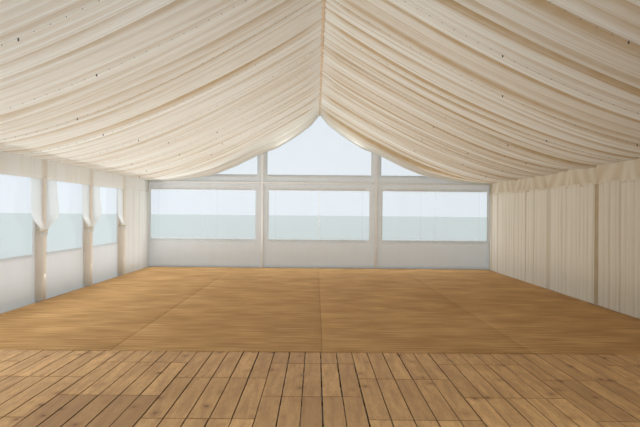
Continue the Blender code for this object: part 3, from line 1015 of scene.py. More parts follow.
        # Darker towards one edge, with painted shade in the hollows of the gathers.
        mark = np.clip(0.35 + 0.65 * smooth_step(across, 0.2, 1.0) - gathers * 120, 0, 1)
        uv = beside(y, across * 0.03)
        strip = grid(beside(x, y, z), uv, fold=mark + 0 * y)
        piece = make_piece("ridge_strip_cloth", strip, self.finishes.strip,
                           ["ridge_strip"], thickness=self.strip_thickness)

    def build_seams(self) -> None:
        """A thin piped seam over the ridge at each inner frame, along the lining's curve."""
        seams = []
        x = np.linspace(-0.21, 0.21, 15)
        for index in range(2, TENT.bays + 1):
            y = TENT.frame_y(index)
            z = self.height(x, y) - 0.026 - 0.03 * np.abs(x)
            seams.append(tube(beside(x, y, z), 0.003, 6))
        make_piece("lining_seams", join(seams), self.finishes.strip)


@dataclass
class Pelmets:
    """The bands under the lining's edge: plain on the window side, and swagged on the other."""

    finishes: Finishes
    thickness: float = 0.002
    over_leg: tuple[float, float] = (0.10, 0.19)
    leg_mark: float = 0.40
    # Painted shade on the right band: its most, and how much less it is where the tucks stand in.
    tuck_shade: tuple[float, float] = (0.54, 0.36)

    def band(self, side: Side) -> Surface:
        """One band along the tent.

        Formula: an upright sheet just inside the wall's lining, with painted shade in the hollows of its
        ripples. On the right it swags between the frames in slanting folds, with painted shade over it
        that is deepest in the tucks, and its foot rises and falls. On the left it ripples, and stands
        in and is darker over each leg.

        Args:
            side: The side.

        Returns:
            The cloth, with its fold mark.
        """
        noise = Noise(31 + side.value)
        bottom = TENT.left_pelmet_bottom if side is Side.LEFT else TENT.right_pelmet_bottom
        y = np.linspace(-TENT.lining_end, TENT.lining_end, 1100)[:, None]
        down = np.linspace(0, 1, 10)[None, :]
        ripple = (noise.wander(y[:, 0], 0.11, 0.0025) + noise.wander(y[:, 0], 0.5, 0.004))[:, None]
        lift = noise.wander(y[:, 0], 0.6, 0.006)[:, None]
        # Painted shade in the hollows of the ripples.
        mark = np.clip(-ripple * 50, 0, 0.4) * down
        inside = 0.002 + np.abs(ripple) * down
        bay_share = ((y + TENT.half_length) / TENT.bay) % 1.0
        if side is Side.LEFT:
            from_leg = np.minimum(bay_share, 1 - bay_share) * TENT.bay
            over_leg = 1 - smooth_step(from_leg, *self.over_leg)
            mark = np.maximum(mark, self.leg_mark * over_leg)
            inside = inside + 0.005 * over_leg
        else:
            swag = np.sin(math.pi * bay_share)
            slant = y * 5.2 + down * 2.6 * np.sign(0.5 - bay_share) * (0.4 + np.abs(0.5 - bay_share))
            tucks = np.clip(np.sin(slant * 2.1 + 2.0 * noise.wander(y[:, 0], 0.7, 1.0)[:, None]), -0.6, 1)
            inside = inside + 0.010 * (tucks + 0.6) * (0.3 + 0.7 * down)
            lift = lift + 0.03 * (1 - swag) - 0.012
            # Painted shade over the right band, deepest in the tucks that lie back against the wall.
            most, change = self.tuck_shade
            mark = np.clip(most - change * tucks, 0, 1) * (0.5 + 0.5 * down) + mark
        foot = bottom + np.clip(lift, 0, None)
        z = TENT.pelmet_top + (foot - TENT.pelmet_top) * down
        x = side.value * (TENT.pelmet_inner + 0.004 - inside - 0.003)
        hem = smooth_step(down, 0.90, 0.93) * 0.002
        uv = beside(y, z)
        points = beside(x - side.value * hem, y, z)
        sheet = grid(points, uv, fold=mark + 0 * z)
        return sheet.turned() if side is Side.LEFT else sheet

    def build(self) -> None:
        """Make both bands."""
        for side, node in ((Side.LEFT, "left_pelmet"), (Side.RIGHT, "right_pelmet")):
            hand = side.name.lower()
            cloth = self.finishes.pale_valance if side is Side.LEFT else self.finishes.valance
            piece = make_piece(f"{hand}_valance", self.band(side), cloth, [node],
                               thickness=self.thickness)


@dataclass
class WallLinings:
    """Pleated linings that hang from the bands to the floor."""

    finishes: Finishes
    drawn_back: tuple[float, ...] = (0.7, 0.9, 0.5, 1.0, 0.45, 0.22)
    drawn_width: tuple[float, float] = (0.085, 0.115)
    broad: tuple[float, float] = (0.09, 0.36)
    broad_depth: tuple[float, float] = (0.010, 0.036)
    small: tuple[float, float] = (0.03, 0.07)
    small_depth: tuple[float, float] = (0.001, 0.004)
    # Strength of the painted shade that deepens towards the near gable on the right wall.
    right_painted_shade: float = 0.30

    def panel(self, side: Side, near: float, far: float, top: float, seed: int) -> Surface:
        """A wall of upright pleats.

        Formula: folds between irregular creases, full at the top and softer below, that stand out
        from the wall, drawn back in a narrow gap at each frame. Its fold mark is painted shade: in the
        creases, darker in each gap, and on the right deepening towards the near gable.

        Args:
            side: The wall's side.
            near: Where the lining starts along the tent.
            far: Where it ends.
            top: Its upper edge.
            seed: Start of its random numbers.

        Returns:
            The cloth, with its fold mark.
        """
        noise = Noise(seed)
        y = np.linspace(near, far, max(60, int((far - near) * 62)))[:, None]
        down = np.linspace(0, 1, 12)[None, :]
        flat_y = y + 0.012 * noise.wander(down[0], 0.25, 1.0)[None, :] * np.sin(y * 3.1)
        broad = noise.gaps(near - 0.1, far + 0.1, *self.broad)
        depths = noise.random.uniform(*self.broad_depth, len(broad))
        bulge, wall_crease_shade = folds(flat_y, broad, depths, 2.0, 0.03)
        small = noise.gaps(near - 0.1, far + 0.1, *self.small)
        depths = noise.random.uniform(*self.small_depth, len(small))
        ripple, _ = folds(flat_y, small, depths, 2.0)
        out = (bulge + ripple) * (0.75 + 0.25 * np.cos(down * 2.2))
        gap = np.zeros_like(y)
        for index in range(2, TENT.bays + 1):
            narrow = 1 - smooth_step(np.abs(y - TENT.frame_y(index)), *self.drawn_width)
            gap = np.maximum(gap, self.drawn_back[index - 2] * narrow)
        out = out * (1 - gap) * smooth_step(far - y, -0.01, 0.03)
        z = top + (TENT.floor_top + 0.004 - top) * down
        x = side.value * (TENT.pelmet_inner + 0.003 - out)
        shade_gradient = 0.0 if side is Side.LEFT else self.right_painted_shade * smooth_step(4.5 - y, 0.0, 5.0)
        # Painted shade in the creases and in the gaps at the frames, and on the right a painted shade
        # towards the near gable.
        mark = np.clip(np.maximum(wall_crease_shade * 0.45, gap * 1.1) + shade_gradient, 0, 1.1)
        points = beside(x, y, z)
        uv = beside(y * 1.2, z)
        sheet = grid(points, uv, fold=mark)
        return sheet.turned() if side is Side.LEFT else sheet

    def build(self) -> None:
        """Make the long right wall's lining and the last left bay's."""
        top = TENT.right_pelmet_bottom + 0.05
        right = self.panel(Side.RIGHT, -TENT.lining_end, TENT.lining_end, top, 51)
        cloth = self.finishes.wall_lining
        piece = make_piece("right_wall_pleats", right, cloth, ["right_wall_lining"])
        near = TENT.frame_y(TENT.bays) + 0.086
        left = self.panel(Side.LEFT, near, TENT.lining_end, TENT.left_pelmet_bottom + 0.02, 52)
        pale = self.finishes.pale_valance
        piece = make_piece("left_end_pleats", left, pale, ["left_end_lining"])


@dataclass
class LegDrapes:
    """Voile on the window wall's legs: a curtain each side, drawn in and tied over the leg's cover."""

    finishes: Finishes
    top_reach: tuple[float, float] = (0.68, 0.765)
    tie_reach: float = 0.100
    billow: tuple[float, float] = (0.026, 0.052)
    band_plane: float = -4.396
    tie_plane: float = -4.343
    tie_middle: float = -4.415
    tie_half: tuple[float, float] = (0.079, 0.102)
    limits: tuple[float, float] = (-4.495, -4.262)
    outline: tuple[tuple[float, ...], tuple[float, ...]] = (
        (0, 0.35, 0.58, 0.70, 0.78, 0.86, 0.93, 1.0, 2.0),
        (0.93, 0.97, 1.0, 0.97, 0.82, 0.52, 0.20, 0, 0),
    )
    leg_outside: float = -4.496
    cover_front: float = -4.362
    cover_half: tuple[float, float] = (0.062, 0.083)

    def reach(self, down: Array, widest: float) -> Array:
        """A curtain's outer edge from the leg: the tie's reach, and the outline's share of the rest."""
        share = np.interp(down, *self.outline)
        return self.tie_reach + (widest - self.tie_reach) * share

    def voile(self, index: int, sign: int) -> Surface:
        """One curtain, from behind the band to its gathered end below the tie.

        Formula: rows from the top to the tie whose outer edge follows the reach, laid between the
        band's plane at the top and the cover's corner at the tie; folds keep their number while the
        cloth narrows; the cloth billows inwards most at three quarters of the way down.

        Args:
            index: The frame's number.
            sign: -1 for the curtain on the near side, 1 for the far one.

        Returns:
            The cloth, with its fold mark.
        """
        noise = Noise(70 + index + 20 * sign)
        down = np.concatenate([np.linspace(0, 1, 52), np.linspace(1.015, 1.10, 7)])[:, None]
        across = np.linspace(0, 1, 78)[None, :]
        top, tie = TENT.left_pelmet_bottom + 0.02, TENT.tie_height
        z = top + (tie - top) * down + 0.012 * across * np.sin(math.pi * np.clip(down, 0, 1))
        far_side = int(sign > 0)
        widest = self.top_reach[far_side]
        reach = self.reach(down, widest) + 0.016 * np.clip(down - 1, 0, 1) / 0.1
        spread = np.clip((reach - self.tie_reach) / (widest - self.tie_reach), 0, 1)
        inner = 0.034 + 0.042 * spread
        y = TENT.frame_y(index) + sign * (inner + (reach - inner) * across)
        at_tie = self.tie_plane - 0.077 * across - 0.010 * (1 - np.clip(np.abs(down - 1) / 0.04, 0, 1))
        creases = noise.gaps(-0.02, 1.02, 0.05, 0.13)
        depths = noise.random.uniform(0.45, 1.0, len(creases))
        fold, near = folds(across + 0.02 * np.sin(5 * down), creases, depths, 2.0)
        swell = np.clip(down, 0, 1) ** 1.6 * (1 - np.clip(down, 0, 1)) ** 0.5 / 0.33
        out = self.billow[far_side] * swell * np.sin(math.pi * np.clip(across, 0, 1) ** 1.4 * 0.80)
        out = out + fold * (0.007 + 0.011 * np.clip(down, 0, 1))
        x = np.clip(spread * self.band_plane + (1 - spread) * at_tie + out, *self.limits)
        uv = beside(across * 0.8, z)
        # The fold mark is painted shade at the creases.
        sheet = grid(beside(x, y, z), uv, fold=near * 0.55)
        return sheet.turned() if sign > 0 else sheet

    def tie(self, index: int) -> Surface:
        """The band round the curtains and the cover.

        Formula: four rings, one over the other, each a circle drawn out towards a square by the
        cube root of the cubes' sum. The outer two are a little smaller.

        Args:
            index: The frame's number.

        Returns:
            The band.
        """
        turn = np.linspace(0, 2 * math.pi, 41)[:-1]
        middle = TENT.frame_y(index)
        round_off = (np.abs(np.cos(turn)) ** 3 + np.abs(np.sin(turn)) ** 3) ** (-1 / 3)
        rings = []
        for z, grow in ((-0.015, -0.002), (-0.011, 0.001), (0.011, 0.001), (0.015, -0.002)):
            x = self.tie_middle + (self.tie_half[0] + grow) * np.cos(turn) * round_off
            y = middle + (self.tie_half[1] + grow) * np.sin(turn) * round_off
            rings.append(beside(x, y, TENT.tie_height + z))
        points = np.concatenate(rings)
        mark = {"fold": np.full(len(points), 0.3)}
        return Surface(points, grid_quads(4, len(turn), round_columns=True), points[:, 1:], mark)

    def cover(self, index: int) -> Surface:
        """The leg's cover: cloth drawn round three sides of the leg.

        Formula: a squared arch round the leg, broader below the tie than above it, with ripples. Its mark
        is a faint tint, with painted shade on its sides and painted light and shade on the ripples.

        Args:
            index: The frame's number.

        Returns:
            The cover.
        """
        noise = Noise(110 + index)
        z = np.linspace(TENT.floor_top + 0.002, TENT.left_pelmet_bottom + 0.02, 60)[:, None]
        turn = np.linspace(-1, 1, 45)[None, :] * math.pi / 2
        below = 1 - smooth_step(z, TENT.tie_height - 0.10, TENT.tie_height + 0.04)
        narrow, broad = self.cover_half
        half = narrow + (broad - narrow) * below
        front = self.cover_front + 0.008 * below
        round_off = (np.cos(turn) ** 6 + np.abs(np.sin(turn)) ** 6 + 1e-9) ** (-1 / 6)
        ripple = noise.wander(z[:, 0], 0.16, 0.0015)[:, None] * np.cos(turn * 3)
        y = TENT.frame_y(index) + half * np.sin(turn) * round_off
        x = self.leg_outside + (front - self.leg_outside + ripple) * np.cos(turn) * round_off
        uv = beside(turn * 0.12, z)
        # Painted shade on the sides facing along the tent, and painted light and shade on the ripples.
        mark = np.clip(0.22 + 0.30 * np.abs(np.sin(turn)) ** 4 + ripple * 90, 0, 1)
        return grid(beside(x, y, z), uv, fold=mark).turned()

    def build(self) -> None:
        """Make the curtains, tie and cover of each inner leg of the window wall."""
        for index in range(2, TENT.bays + 1):
            signs = (-1, 1) if index < TENT.bays else (-1,)
            voile = join([self.voile(index, sign) for sign in signs])
            node, leg = f"leg_drape_{index}", f"portal_frame_{index}"
            piece = make_piece(f"leg_voile_{index}", voile, self.finishes.voile, [node])
            cloth = self.finishes.valance
            tie = make_piece(f"leg_tie_{index}", self.tie(index), cloth)
            cloth = self.finishes.leg_cover
            cover = make_piece(f"leg_cover_{index}", self.cover(index), cloth)


@dataclass
class RoofCovers:
    """The white covers between the frames, over the ridge and down outside both walls."""

    finishes: Finishes
    thickness: float = 0.0012
    sag: float = 0.014
    groove: float = 0.0165
    rope: float = 0.0035
    rope_lift: float = 0.006

    def profile(self) -> tuple[Array, Array]:
        """Outline of the cover's outer face from flap to flap.

        Formula: the roof's slope, bent over at the eaves as a quarter of a sine, then straight down.

        Returns:
            X and height at each place.
        """
        reach = TENT.half_span + 2 * TENT.touch + 2 * TENT.sheet
        top = TENT.ridge - TENT.cover_drop
        bend = np.linspace(0.15, 1, 6) * math.pi / 2
        out = np.concatenate([np.linspace(0, reach - 0.03, 26), reach - 0.03 + 0.03 * np.sin(bend)])
        z = top - TENT.slope * out
        z[-6:] -= 0.012 * (1 - np.cos(bend))
        flap = np.linspace(z[-1] - 0.012, TENT.flap_bottom, 6)
        out, z = np.concatenate([out, np.full(6, reach)]), np.concatenate([z, flap])
        return np.concatenate([-out[:0:-1], out]), np.concatenate([z[:0:-1], z])

    def cover(self, bay: int) -> Surface:
        """One bay's cover.

        Formula: the roof's outline carried along the bay, drawn in by a sag that is nothing at the
        frames and the ridge and most in the middle, with faint ripples on the roof and loose flaps.

        Args:
            bay: The bay's number, from the near gable.

        Returns:
            The cover.
        """
        noise = Noise(200 + bay)
        x, z = self.profile()
        near = TENT.frame_y(bay) + TENT.profile_width / 2 + TENT.touch
        far = TENT.frame_y(bay + 1) - TENT.profile_width / 2 - TENT.touch
        y = np.linspace(near, far, 41)[:, None]
        share = (y - near) / (far - near)
        across = np.clip(np.abs(x) / TENT.half_span, 0, 1)[None, :]
        on_roof = (z > TENT.eaves - 0.02)[None, :]
        sag = self.sag * np.sin(math.pi * share) ** 0.8 * np.sin(math.pi * across) ** 0.7 * on_roof
        ripple = 0.0016 * np.sin(26 * y + 9 * across) * np.sin(math.pi * across) * np.sin(math.pi * share)
        flap = (z < TENT.eaves - 0.03)[None, :]
        flutter = noise.wander(y[:, 0], 0.3, 0.0025)[:, None] * flap * (TENT.eaves - z)[None, :] / 0.12
        outwards = x[None, :] + np.abs(flutter) * np.sign(x)[None, :]
        points = beside(outwards, y, z[None, :] - sag + ripple * on_roof)
        length = np.cumsum(np.hypot(np.diff(x, prepend=x[0]), np.diff(z, prepend=z[0])))
        uv = beside(y, length[None, :])
        return grid(points, uv)

    def build(self) -> None:
        """Make each bay's cover, and the roped edges that hold it in the frames' grooves."""
        for bay in range(1, TENT.bays + 1):
            cover = self.cover(bay)
            piece = make_piece(f"cover_sheet_{bay}", cover, self.finishes.cover,
                               [f"roof_cover_{bay}"], thickness=self.thickness)
        x, z = self.profile()
        edges = []
        for index in range(1, TENT.bays + 2):
            for offset in (-self.groove, self.groove):
                if abs(TENT.frame_y(index) + offset) > TENT.half_length + 0.005:
                    continue  # an end frame holds a cover on its inner side only
                y = TENT.frame_y(index) + offset
                path = beside(x, y, z + self.rope_lift)[6:-6]
                edges.append(tube(path, self.rope, 6))
        make_piece("roof_groove_ropes", join(edges), self.finishes.rope)


def plate(
    columns: Array, rows: Callable[[Array], list[Array]], counts: Sequence[int], holes: Sequence[Array]
) -> tuple[Array, Array, Array]:
    """A flat sheet with holes, as a grid whose lines follow the holes' edges.

    Formula: at each column, the heights go in even steps between that column's guide lines. A quad is
    left out where its middle lies in a hole, or where it has no height.

    Args:
        columns: Places across, in order, with every upright edge among them.
        rows: Guide heights at each column, lowest first.
        counts: Steps between each two guides.
        holes: Outlines, each a row of (across, height) points in order.

    Returns:
        Places across, heights, and the quads.
    """
    guides = rows(columns)
    levels = [guides[0]]
    for low, high, count in zip(guides[:-1], guides[1:], counts):
        levels += [low + (high - low) * step / count for step in range(1, count + 1)]
    height = np.stack(levels)
    across = np.broadcast_to(columns, height.shape)
    quads = grid_quads(*height.shape)
    flat = beside(across.ravel(), height.ravel())
    middle = flat[quads].mean(1)
    tall = np.ptp(flat[quads][:, :, 1], axis=1) > 1e-6
    open_ = np.zeros(len(quads), bool)
    for hole in holes:
        inside = np.ones(len(quads), bool)
        turn = np.sign(np.sum(hole[:, 0] * np.roll(hole[:, 1], -1) - np.roll(hole[:, 0], -1) * hole[:, 1]))
        for a, b in zip(hole, np.roll(hole, -1, axis=0)):
            cross = (b[0] - a[0]) * (middle[:, 1] - a[1]) - (b[1] - a[1]) * (middle[:, 0] - a[0])
            inside &= turn * cross > 0
        open_ |= inside
    quads = quads[tall & ~open_]
    rounded = np.round(flat, 5)
    _, first, number = np.unique(rounded, axis=0, return_index=True, return_inverse=True)
    quads = number.reshape(-1)[quads]
    used = np.unique(quads)
    place = np.zeros(len(first), int)
    place[used] = np.arange(len(used))
    kept = flat[first[used]]
    quads = place[quads]
    quads = quads[[len(set(q)) == 4 for q in quads.tolist()]]
    return kept[:, 0], kept[:, 1], quads


def steps(edges: Sequence[float], size: float) -> Array:
    """Places from the first edge to the last, with every edge among them.

    Args:
        edges: The edges, in order.
        size: About how long a step is.

    Returns:
        The places, in order.
    """
    pairs = zip(edges, edges[1:])
    parts = [np.linspace(a, b, max(1, int(round((b - a) / size))) + 1)[:-1] for a, b in pairs]
    return np.concatenate([*parts, [edges[-1]]])


@dataclass
class SideWalls:
    """The sheets outside the legs: windows on the left, plain on the right."""

    finishes: Finishes
    thickness: float = 0.0014
    sheet_out: float = 0.0018
    film_out: float = 0.0062
    track: tuple[float, float] = (0.0031, 0.0068)
    track_half: float = 0.013

    def billow(self, y: Array, z: Array) -> Array:
        """How far the wall stands out.

        Formula: a squared sine along each bay times a sine up the wall, with slow waves.

        Args:
            y: Places along the tent.
            z: Heights.

        Returns:
            The distance at each place.
        """
        share = ((y + TENT.half_length) / TENT.bay) % 1.0
        high = np.clip((z - 0.1) / 2.2, 0, 1)
        bulge = np.sin(math.pi * share) ** 2 * np.sin(math.pi * high)
        return 0.0035 * bulge * (1 + 0.35 * np.sin(7.3 * y + 1.7 * z))

    def wall(self, side: Side, near: float, far: float, window: tuple[float, float] | None) -> Surface:
        """One sheet, with a hole for its window where it has one, and a folded hem at its foot.

        Args:
            side: The wall's side.
            near: Where the sheet starts along the tent.
            far: Where it ends.
            window: Where its window starts and ends, or None.

        Returns:
            The sheet.
        """
        edges = [near, far]
        holes = []
        if window:
            edges = [near, *window, far]
            low, high = TENT.window_sill, TENT.window_head
            holes = [np.array([[window[0], low], [window[1], low], [window[1], high], [window[0], high]])]
        columns = steps(edges, 0.10)
        levels = [TENT.wall_foot, 0.06, TENT.window_sill, TENT.window_head, TENT.wall_top]
        y, z, quads = plate(columns, lambda c: [np.full(len(c), v) for v in levels], (2, 9, 14, 4), holes)
        hem = 0.0010 * (z < 0.061)
        out = self.billow(y, z) + hem
        x = side.value * (TENT.half_span + self.sheet_out + np.clip(out, 0, None))
        surface = Surface(beside(x, y, z), quads, beside(y, z))
        return surface if side is Side.RIGHT else surface.turned()

    def film(self) -> Surface:
        """The clear sheet over the window wall's openings.

        Formula: a flat grid that follows the wall's bulge, with soft upright ripples between the
        welds. The mark is whole on the upright laps and half over the wall's cloth.

        Returns:
            The film.
        """
        border = TENT.wall_window_border - TENT.film_overlap
        near, far = TENT.frame_y(1) + border, TENT.frame_y(TENT.bays) - border
        low, high = TENT.window_sill - TENT.film_overlap, TENT.window_head + TENT.film_overlap
        y = np.linspace(near, far, 420)[:, None]
        z = np.linspace(low, high, 24)[None, :]
        bay = ((y + TENT.half_length) / TENT.bay) % 1.0 * TENT.bay
        from_leg = np.minimum(bay, TENT.bay - bay)
        weld = ((z < TENT.window_sill) | (z > TENT.window_head) | (from_leg < TENT.wall_window_border)) * 1.0
        lap = np.abs((y - near) % 1.40 - 0.70) < 0.012
        ripple = 0.0022 * np.sin(9.0 * y + 1.5 * np.sin(2 * y)) * np.sin(math.pi * (z - low) / (high - low))
        x = -(TENT.half_span + self.film_out + self.billow(y, z) + np.abs(ripple) * (1 - weld))
        uv = beside(y, z)
        return grid(beside(x, y, z), uv, weld=np.maximum(weld * 0.5, lap))

    def tracks(self) -> Surface:
        """The narrow metal tracks outside the right wall's sheet, one at each leg.

        Returns:
            All the tracks.
        """
        y = np.array([TENT.frame_y(index) for index in range(1, TENT.bays + 2)])
        inner, outer = (TENT.half_span + out for out in self.track)
        low = beside(inner, y - self.track_half, TENT.wall_foot + 0.03)
        high = beside(outer, y + self.track_half, TENT.wall_top - 0.01)
        return blocks(low, high, 0.0008)

    def build(self) -> None:
        """Make the seven sheets of the left wall, its film, and the right wall."""
        end = TENT.gable_outer + TENT.touch + TENT.sheet
        for bay in range(1, TENT.bays + 1):
            start, stop = TENT.frame_y(bay), TENT.frame_y(bay + 1)
            near, far = (start if bay > 1 else -end), (stop if bay < TENT.bays else end)
            border = TENT.wall_window_border
            window = (start + border, stop - border) if bay < TENT.bays else None
            wall = self.wall(Side.LEFT, near + 0.0002, far - 0.0002, window)
            piece = make_piece(f"side_sheet_left_{bay}", wall, self.finishes.sheet,
                               [f"left_wall_{bay}"], thickness=self.thickness)
        clear = self.finishes.film
        film = make_piece("side_window_film", self.film(), clear, ["left_windows"])
        right = self.wall(Side.RIGHT, -end, end, None)
        piece = make_piece("side_sheet_right", right, self.finishes.sheet, ["right_wall"],
                           thickness=self.thickness)
        make_piece("wall_tracks", self.tracks(), self.finishes.metal, smooth=False)


class End(Enum):
    """The two gables. The value is the sign of Y."""

    NEAR = -1
    FAR = 1


@dataclass
class Gables:
    """The end sheets and their clear windows."""

    finishes: Finishes
    thickness: float = 0.0014
    sheet_out: float = 0.0018
    film_out: float = 0.0062

    def billow(self, x: Array, z: Array) -> Array:
        """How far the sheet stands out between the uprights, legs and transom.

        Formula: a sine across each third times a sine up to the transom, both without their sign.

        Args:
            x: Places across the tent.
            z: Heights.

        Returns:
            The distance at each place.
        """
        third = np.abs(np.sin(math.pi * (np.clip(np.abs(x), 0, TENT.leg_inner) / TENT.upright_x + 1) / 2))
        lower = np.sin(math.pi * np.clip(z / TENT.transom, 0, 1))
        return 0.0028 * third * np.abs(lower)

    def lower_windows(self, end: End) -> list[Array]:
        """Outlines of the openings under the transom, from the left, and then the middle one.

        Args:
            end: The gable. The near one has its entrance in the middle.

        Returns:
            Each outline's corners.
        """
        low, high = TENT.window_sill, TENT.window_head
        inner, outer = TENT.upright_x + TENT.gable_window_border, TENT.leg_inner - TENT.corner_border
        corners = np.array([[inner, low], [outer, low], [outer, high], [inner, high]])
        holes = [corners * (-1, 1), corners]
        if end is End.FAR:
            half = TENT.upright_x - TENT.gable_window_border
            holes.append(np.array([[-half, low], [half, low], [half, high], [-half, high]]))
        return holes

    def upper_windows(self) -> list[Array]:
        """Outlines of the openings over the transom: one between the uprights, one on each side.

        Returns:
            Each outline's corners.
        """
        inner = TENT.upright_x - TENT.upright_width / 2 - TENT.upper_border
        outer = TENT.upright_x + TENT.upright_width / 2 + TENT.upper_border
        sill, edge = TENT.upper_sill, TENT.upper_window_edge
        tip = (edge(0) - sill) / TENT.slope
        middle = [[-inner, sill], [inner, sill], [inner, edge(inner)], [0, edge(0)], [-inner, edge(inner)]]
        sides = [[[s * outer, sill], [s * tip, sill], [s * outer, edge(outer)]] for s in (-1, 1)]
        return [np.array(middle), *(np.array(s) for s in sides)]

    def wall(self, end: End, left: float, right: float, bottom: float, top: float | None,
             holes: list[Array]) -> Surface:
        """One sheet of a gable, from a level up to another or to the roof.

        Formula: guide lines at the sills and heads, then the upper windows' sill, their sloping edge
        and the roof line, with the holes left out.

        Args:
            end: The gable.
            left: Where the sheet starts across the tent.
            right: Where it ends.
            bottom: Its lower edge.
            top: Its upper edge, or None where it reaches the roof.
            holes: Outlines of its windows.

        Returns:
            The sheet.
        """
        edges = {left, right, 0.0} | {round(float(p[0]), 6) for hole in holes for p in hole}
        columns = steps(sorted(e for e in edges if left <= e <= right), 0.16)
        roof = TENT.ridge - TENT.cover_drop - TENT.slope * np.abs(columns)
        if top is not None:
            levels = [bottom, TENT.window_sill, TENT.window_head, top]
            x, z, quads = plate(columns, lambda c: [np.full(len(c), v) for v in levels], (6, 10, 2), holes)
        else:
            edge = TENT.upper_window_edge(columns)
            sill = np.minimum(TENT.upper_sill, edge)
            fixed = [v for v in (bottom, TENT.window_sill, TENT.window_head) if v >= bottom]
            guides = [np.full(len(columns), v) for v in fixed] + [sill, np.maximum(edge, sill), roof]
            counts = [6, 10, 4, 10, 3][-(len(guides) - 1):]
            x, z, quads = plate(columns, lambda c: guides, counts, holes)
        y = end.value * (TENT.gable_outer + self.sheet_out + self.billow(x, z))
        surface = Surface(beside(x, y, z), quads, beside(x, z))
        return surface.turned() if end is End.FAR else surface

    def film(self, end: End, x: Array, z: Array, weld: Array) -> Surface:
        """A clear sheet just outside the white one.

        Args:
            end: The gable.
            x: Places across the tent.
            z: Heights.
            weld: The weld mark at each place.

        Returns:
            The film.
        """
        ripple = 0.0012 * np.abs(np.sin(8 * x + 0.8 * np.sin(3 * z))) * (1 - np.clip(weld * 2, 0, 1))
        y = end.value * (TENT.gable_outer + self.film_out + self.billow(x, z) + ripple)
        uv = beside(x, z)
        sheet = grid(beside(x, y, z), uv, weld=weld)
        return sheet.turned() if end is End.FAR else sheet

    def lower_film(self, end: End, left: float, right: float) -> Surface:
        """The film over lower windows.

        Formula: the mark is strongest on upright laps every 3 m, weak on fine lines every 0.75 m,
        and half over the wall's cloth.

        Args:
            end: The gable.
            left: Where the film starts across the tent.
            right: Where it ends.

        Returns:
            The film.
        """
        low, high = TENT.window_sill - TENT.film_overlap, TENT.window_head + TENT.film_overlap
        across = np.linspace(left, right, int((right - left) * 70))
        x, z = np.meshgrid(across, np.linspace(low, high, 18), indexing="ij")
        lap = np.abs((x + 10.5) % 3.0 - 1.5) < 0.010
        quarter = np.abs((x + 10.5) % 0.75 - 0.375) < 0.004
        border = (z < TENT.window_sill) | (z > TENT.window_head)
        return self.film(end, x, z, np.maximum(np.maximum(lap * 0.8, quarter * 0.35), border * 0.5))

    def upper_film(self, end: End) -> Surface:
        """The film over the upper windows: a triangle, as rows that narrow to its top.

        Args:
            end: The gable.

        Returns:
            The film.
        """
        low = TENT.upper_sill - TENT.film_overlap
        high = float(TENT.upper_window_edge(0)) + TENT.film_overlap
        up, across = np.meshgrid(np.linspace(0, 0.995, 26), np.linspace(-1, 1, 81), indexing="ij")
        z = low + (high - low) * up
        x = across * (high - z) / TENT.slope
        weld = ((z < TENT.upper_sill) | (z > TENT.upper_window_edge(x))) * 0.5
        return self.film(end, x, z, weld).turned()

    def build(self) -> None:
        """Make both gables."""
        sheet, film = self.finishes.sheet, self.finishes.film
        outer, door = TENT.half_span, TENT.upright_x - TENT.upright_width / 2
        far_holes = self.lower_windows(End.FAR) + self.upper_windows()
        walls = [
            ("far_gable_sheet", "far_gable_wall", (End.FAR, -outer, outer, TENT.wall_foot, None, far_holes),
             (9.0, 4.3), 18.0),
            ("near_sheet_left", "near_left_wall", (End.NEAR, -outer, -door, TENT.wall_foot,
             TENT.entrance_head, self.lower_windows(End.NEAR)[:1]), (3.07, 2.15), 3.2),
            ("near_sheet_right", "near_right_wall", (End.NEAR, door, outer, TENT.wall_foot,
             TENT.entrance_head, self.lower_windows(End.NEAR)[1:]), (3.07, 2.15), 3.2),
            ("near_sheet_upper", "near_upper_wall", (End.NEAR, -outer, outer,
             TENT.entrance_head + TENT.touch, None, self.upper_windows()), (9.0, 2.14), 6.5),
        ]
        for name, node, facts, flat, area in walls:
            piece = make_piece(name, self.wall(*facts), sheet, [node],
                               thickness=self.thickness)
        beside_door = TENT.upright_x + TENT.gable_window_border - TENT.film_overlap
        leg = TENT.leg_inner
        films = [
            ("far_film", "far_gable_windows", self.lower_film(End.FAR, -leg, leg), (8.8, 1.45), 12.7),
            ("near_film_left", "near_left_window", self.lower_film(End.NEAR, -leg, -beside_door),
             (2.86, 1.45), 4.1),
            ("near_film_right", "near_right_window", self.lower_film(End.NEAR, beside_door, leg),
             (2.86, 1.45), 4.1),
            ("far_film_upper", "far_upper_window", self.upper_film(End.FAR), (8.6, 1.76), 7.6),
            ("near_film_upper", "near_upper_window", self.upper_film(End.NEAR), (8.6, 1.76), 7.6),
        ]
        for name, node, surface, flat, area in films:
            piece = make_piece(name, surface, film, [node])


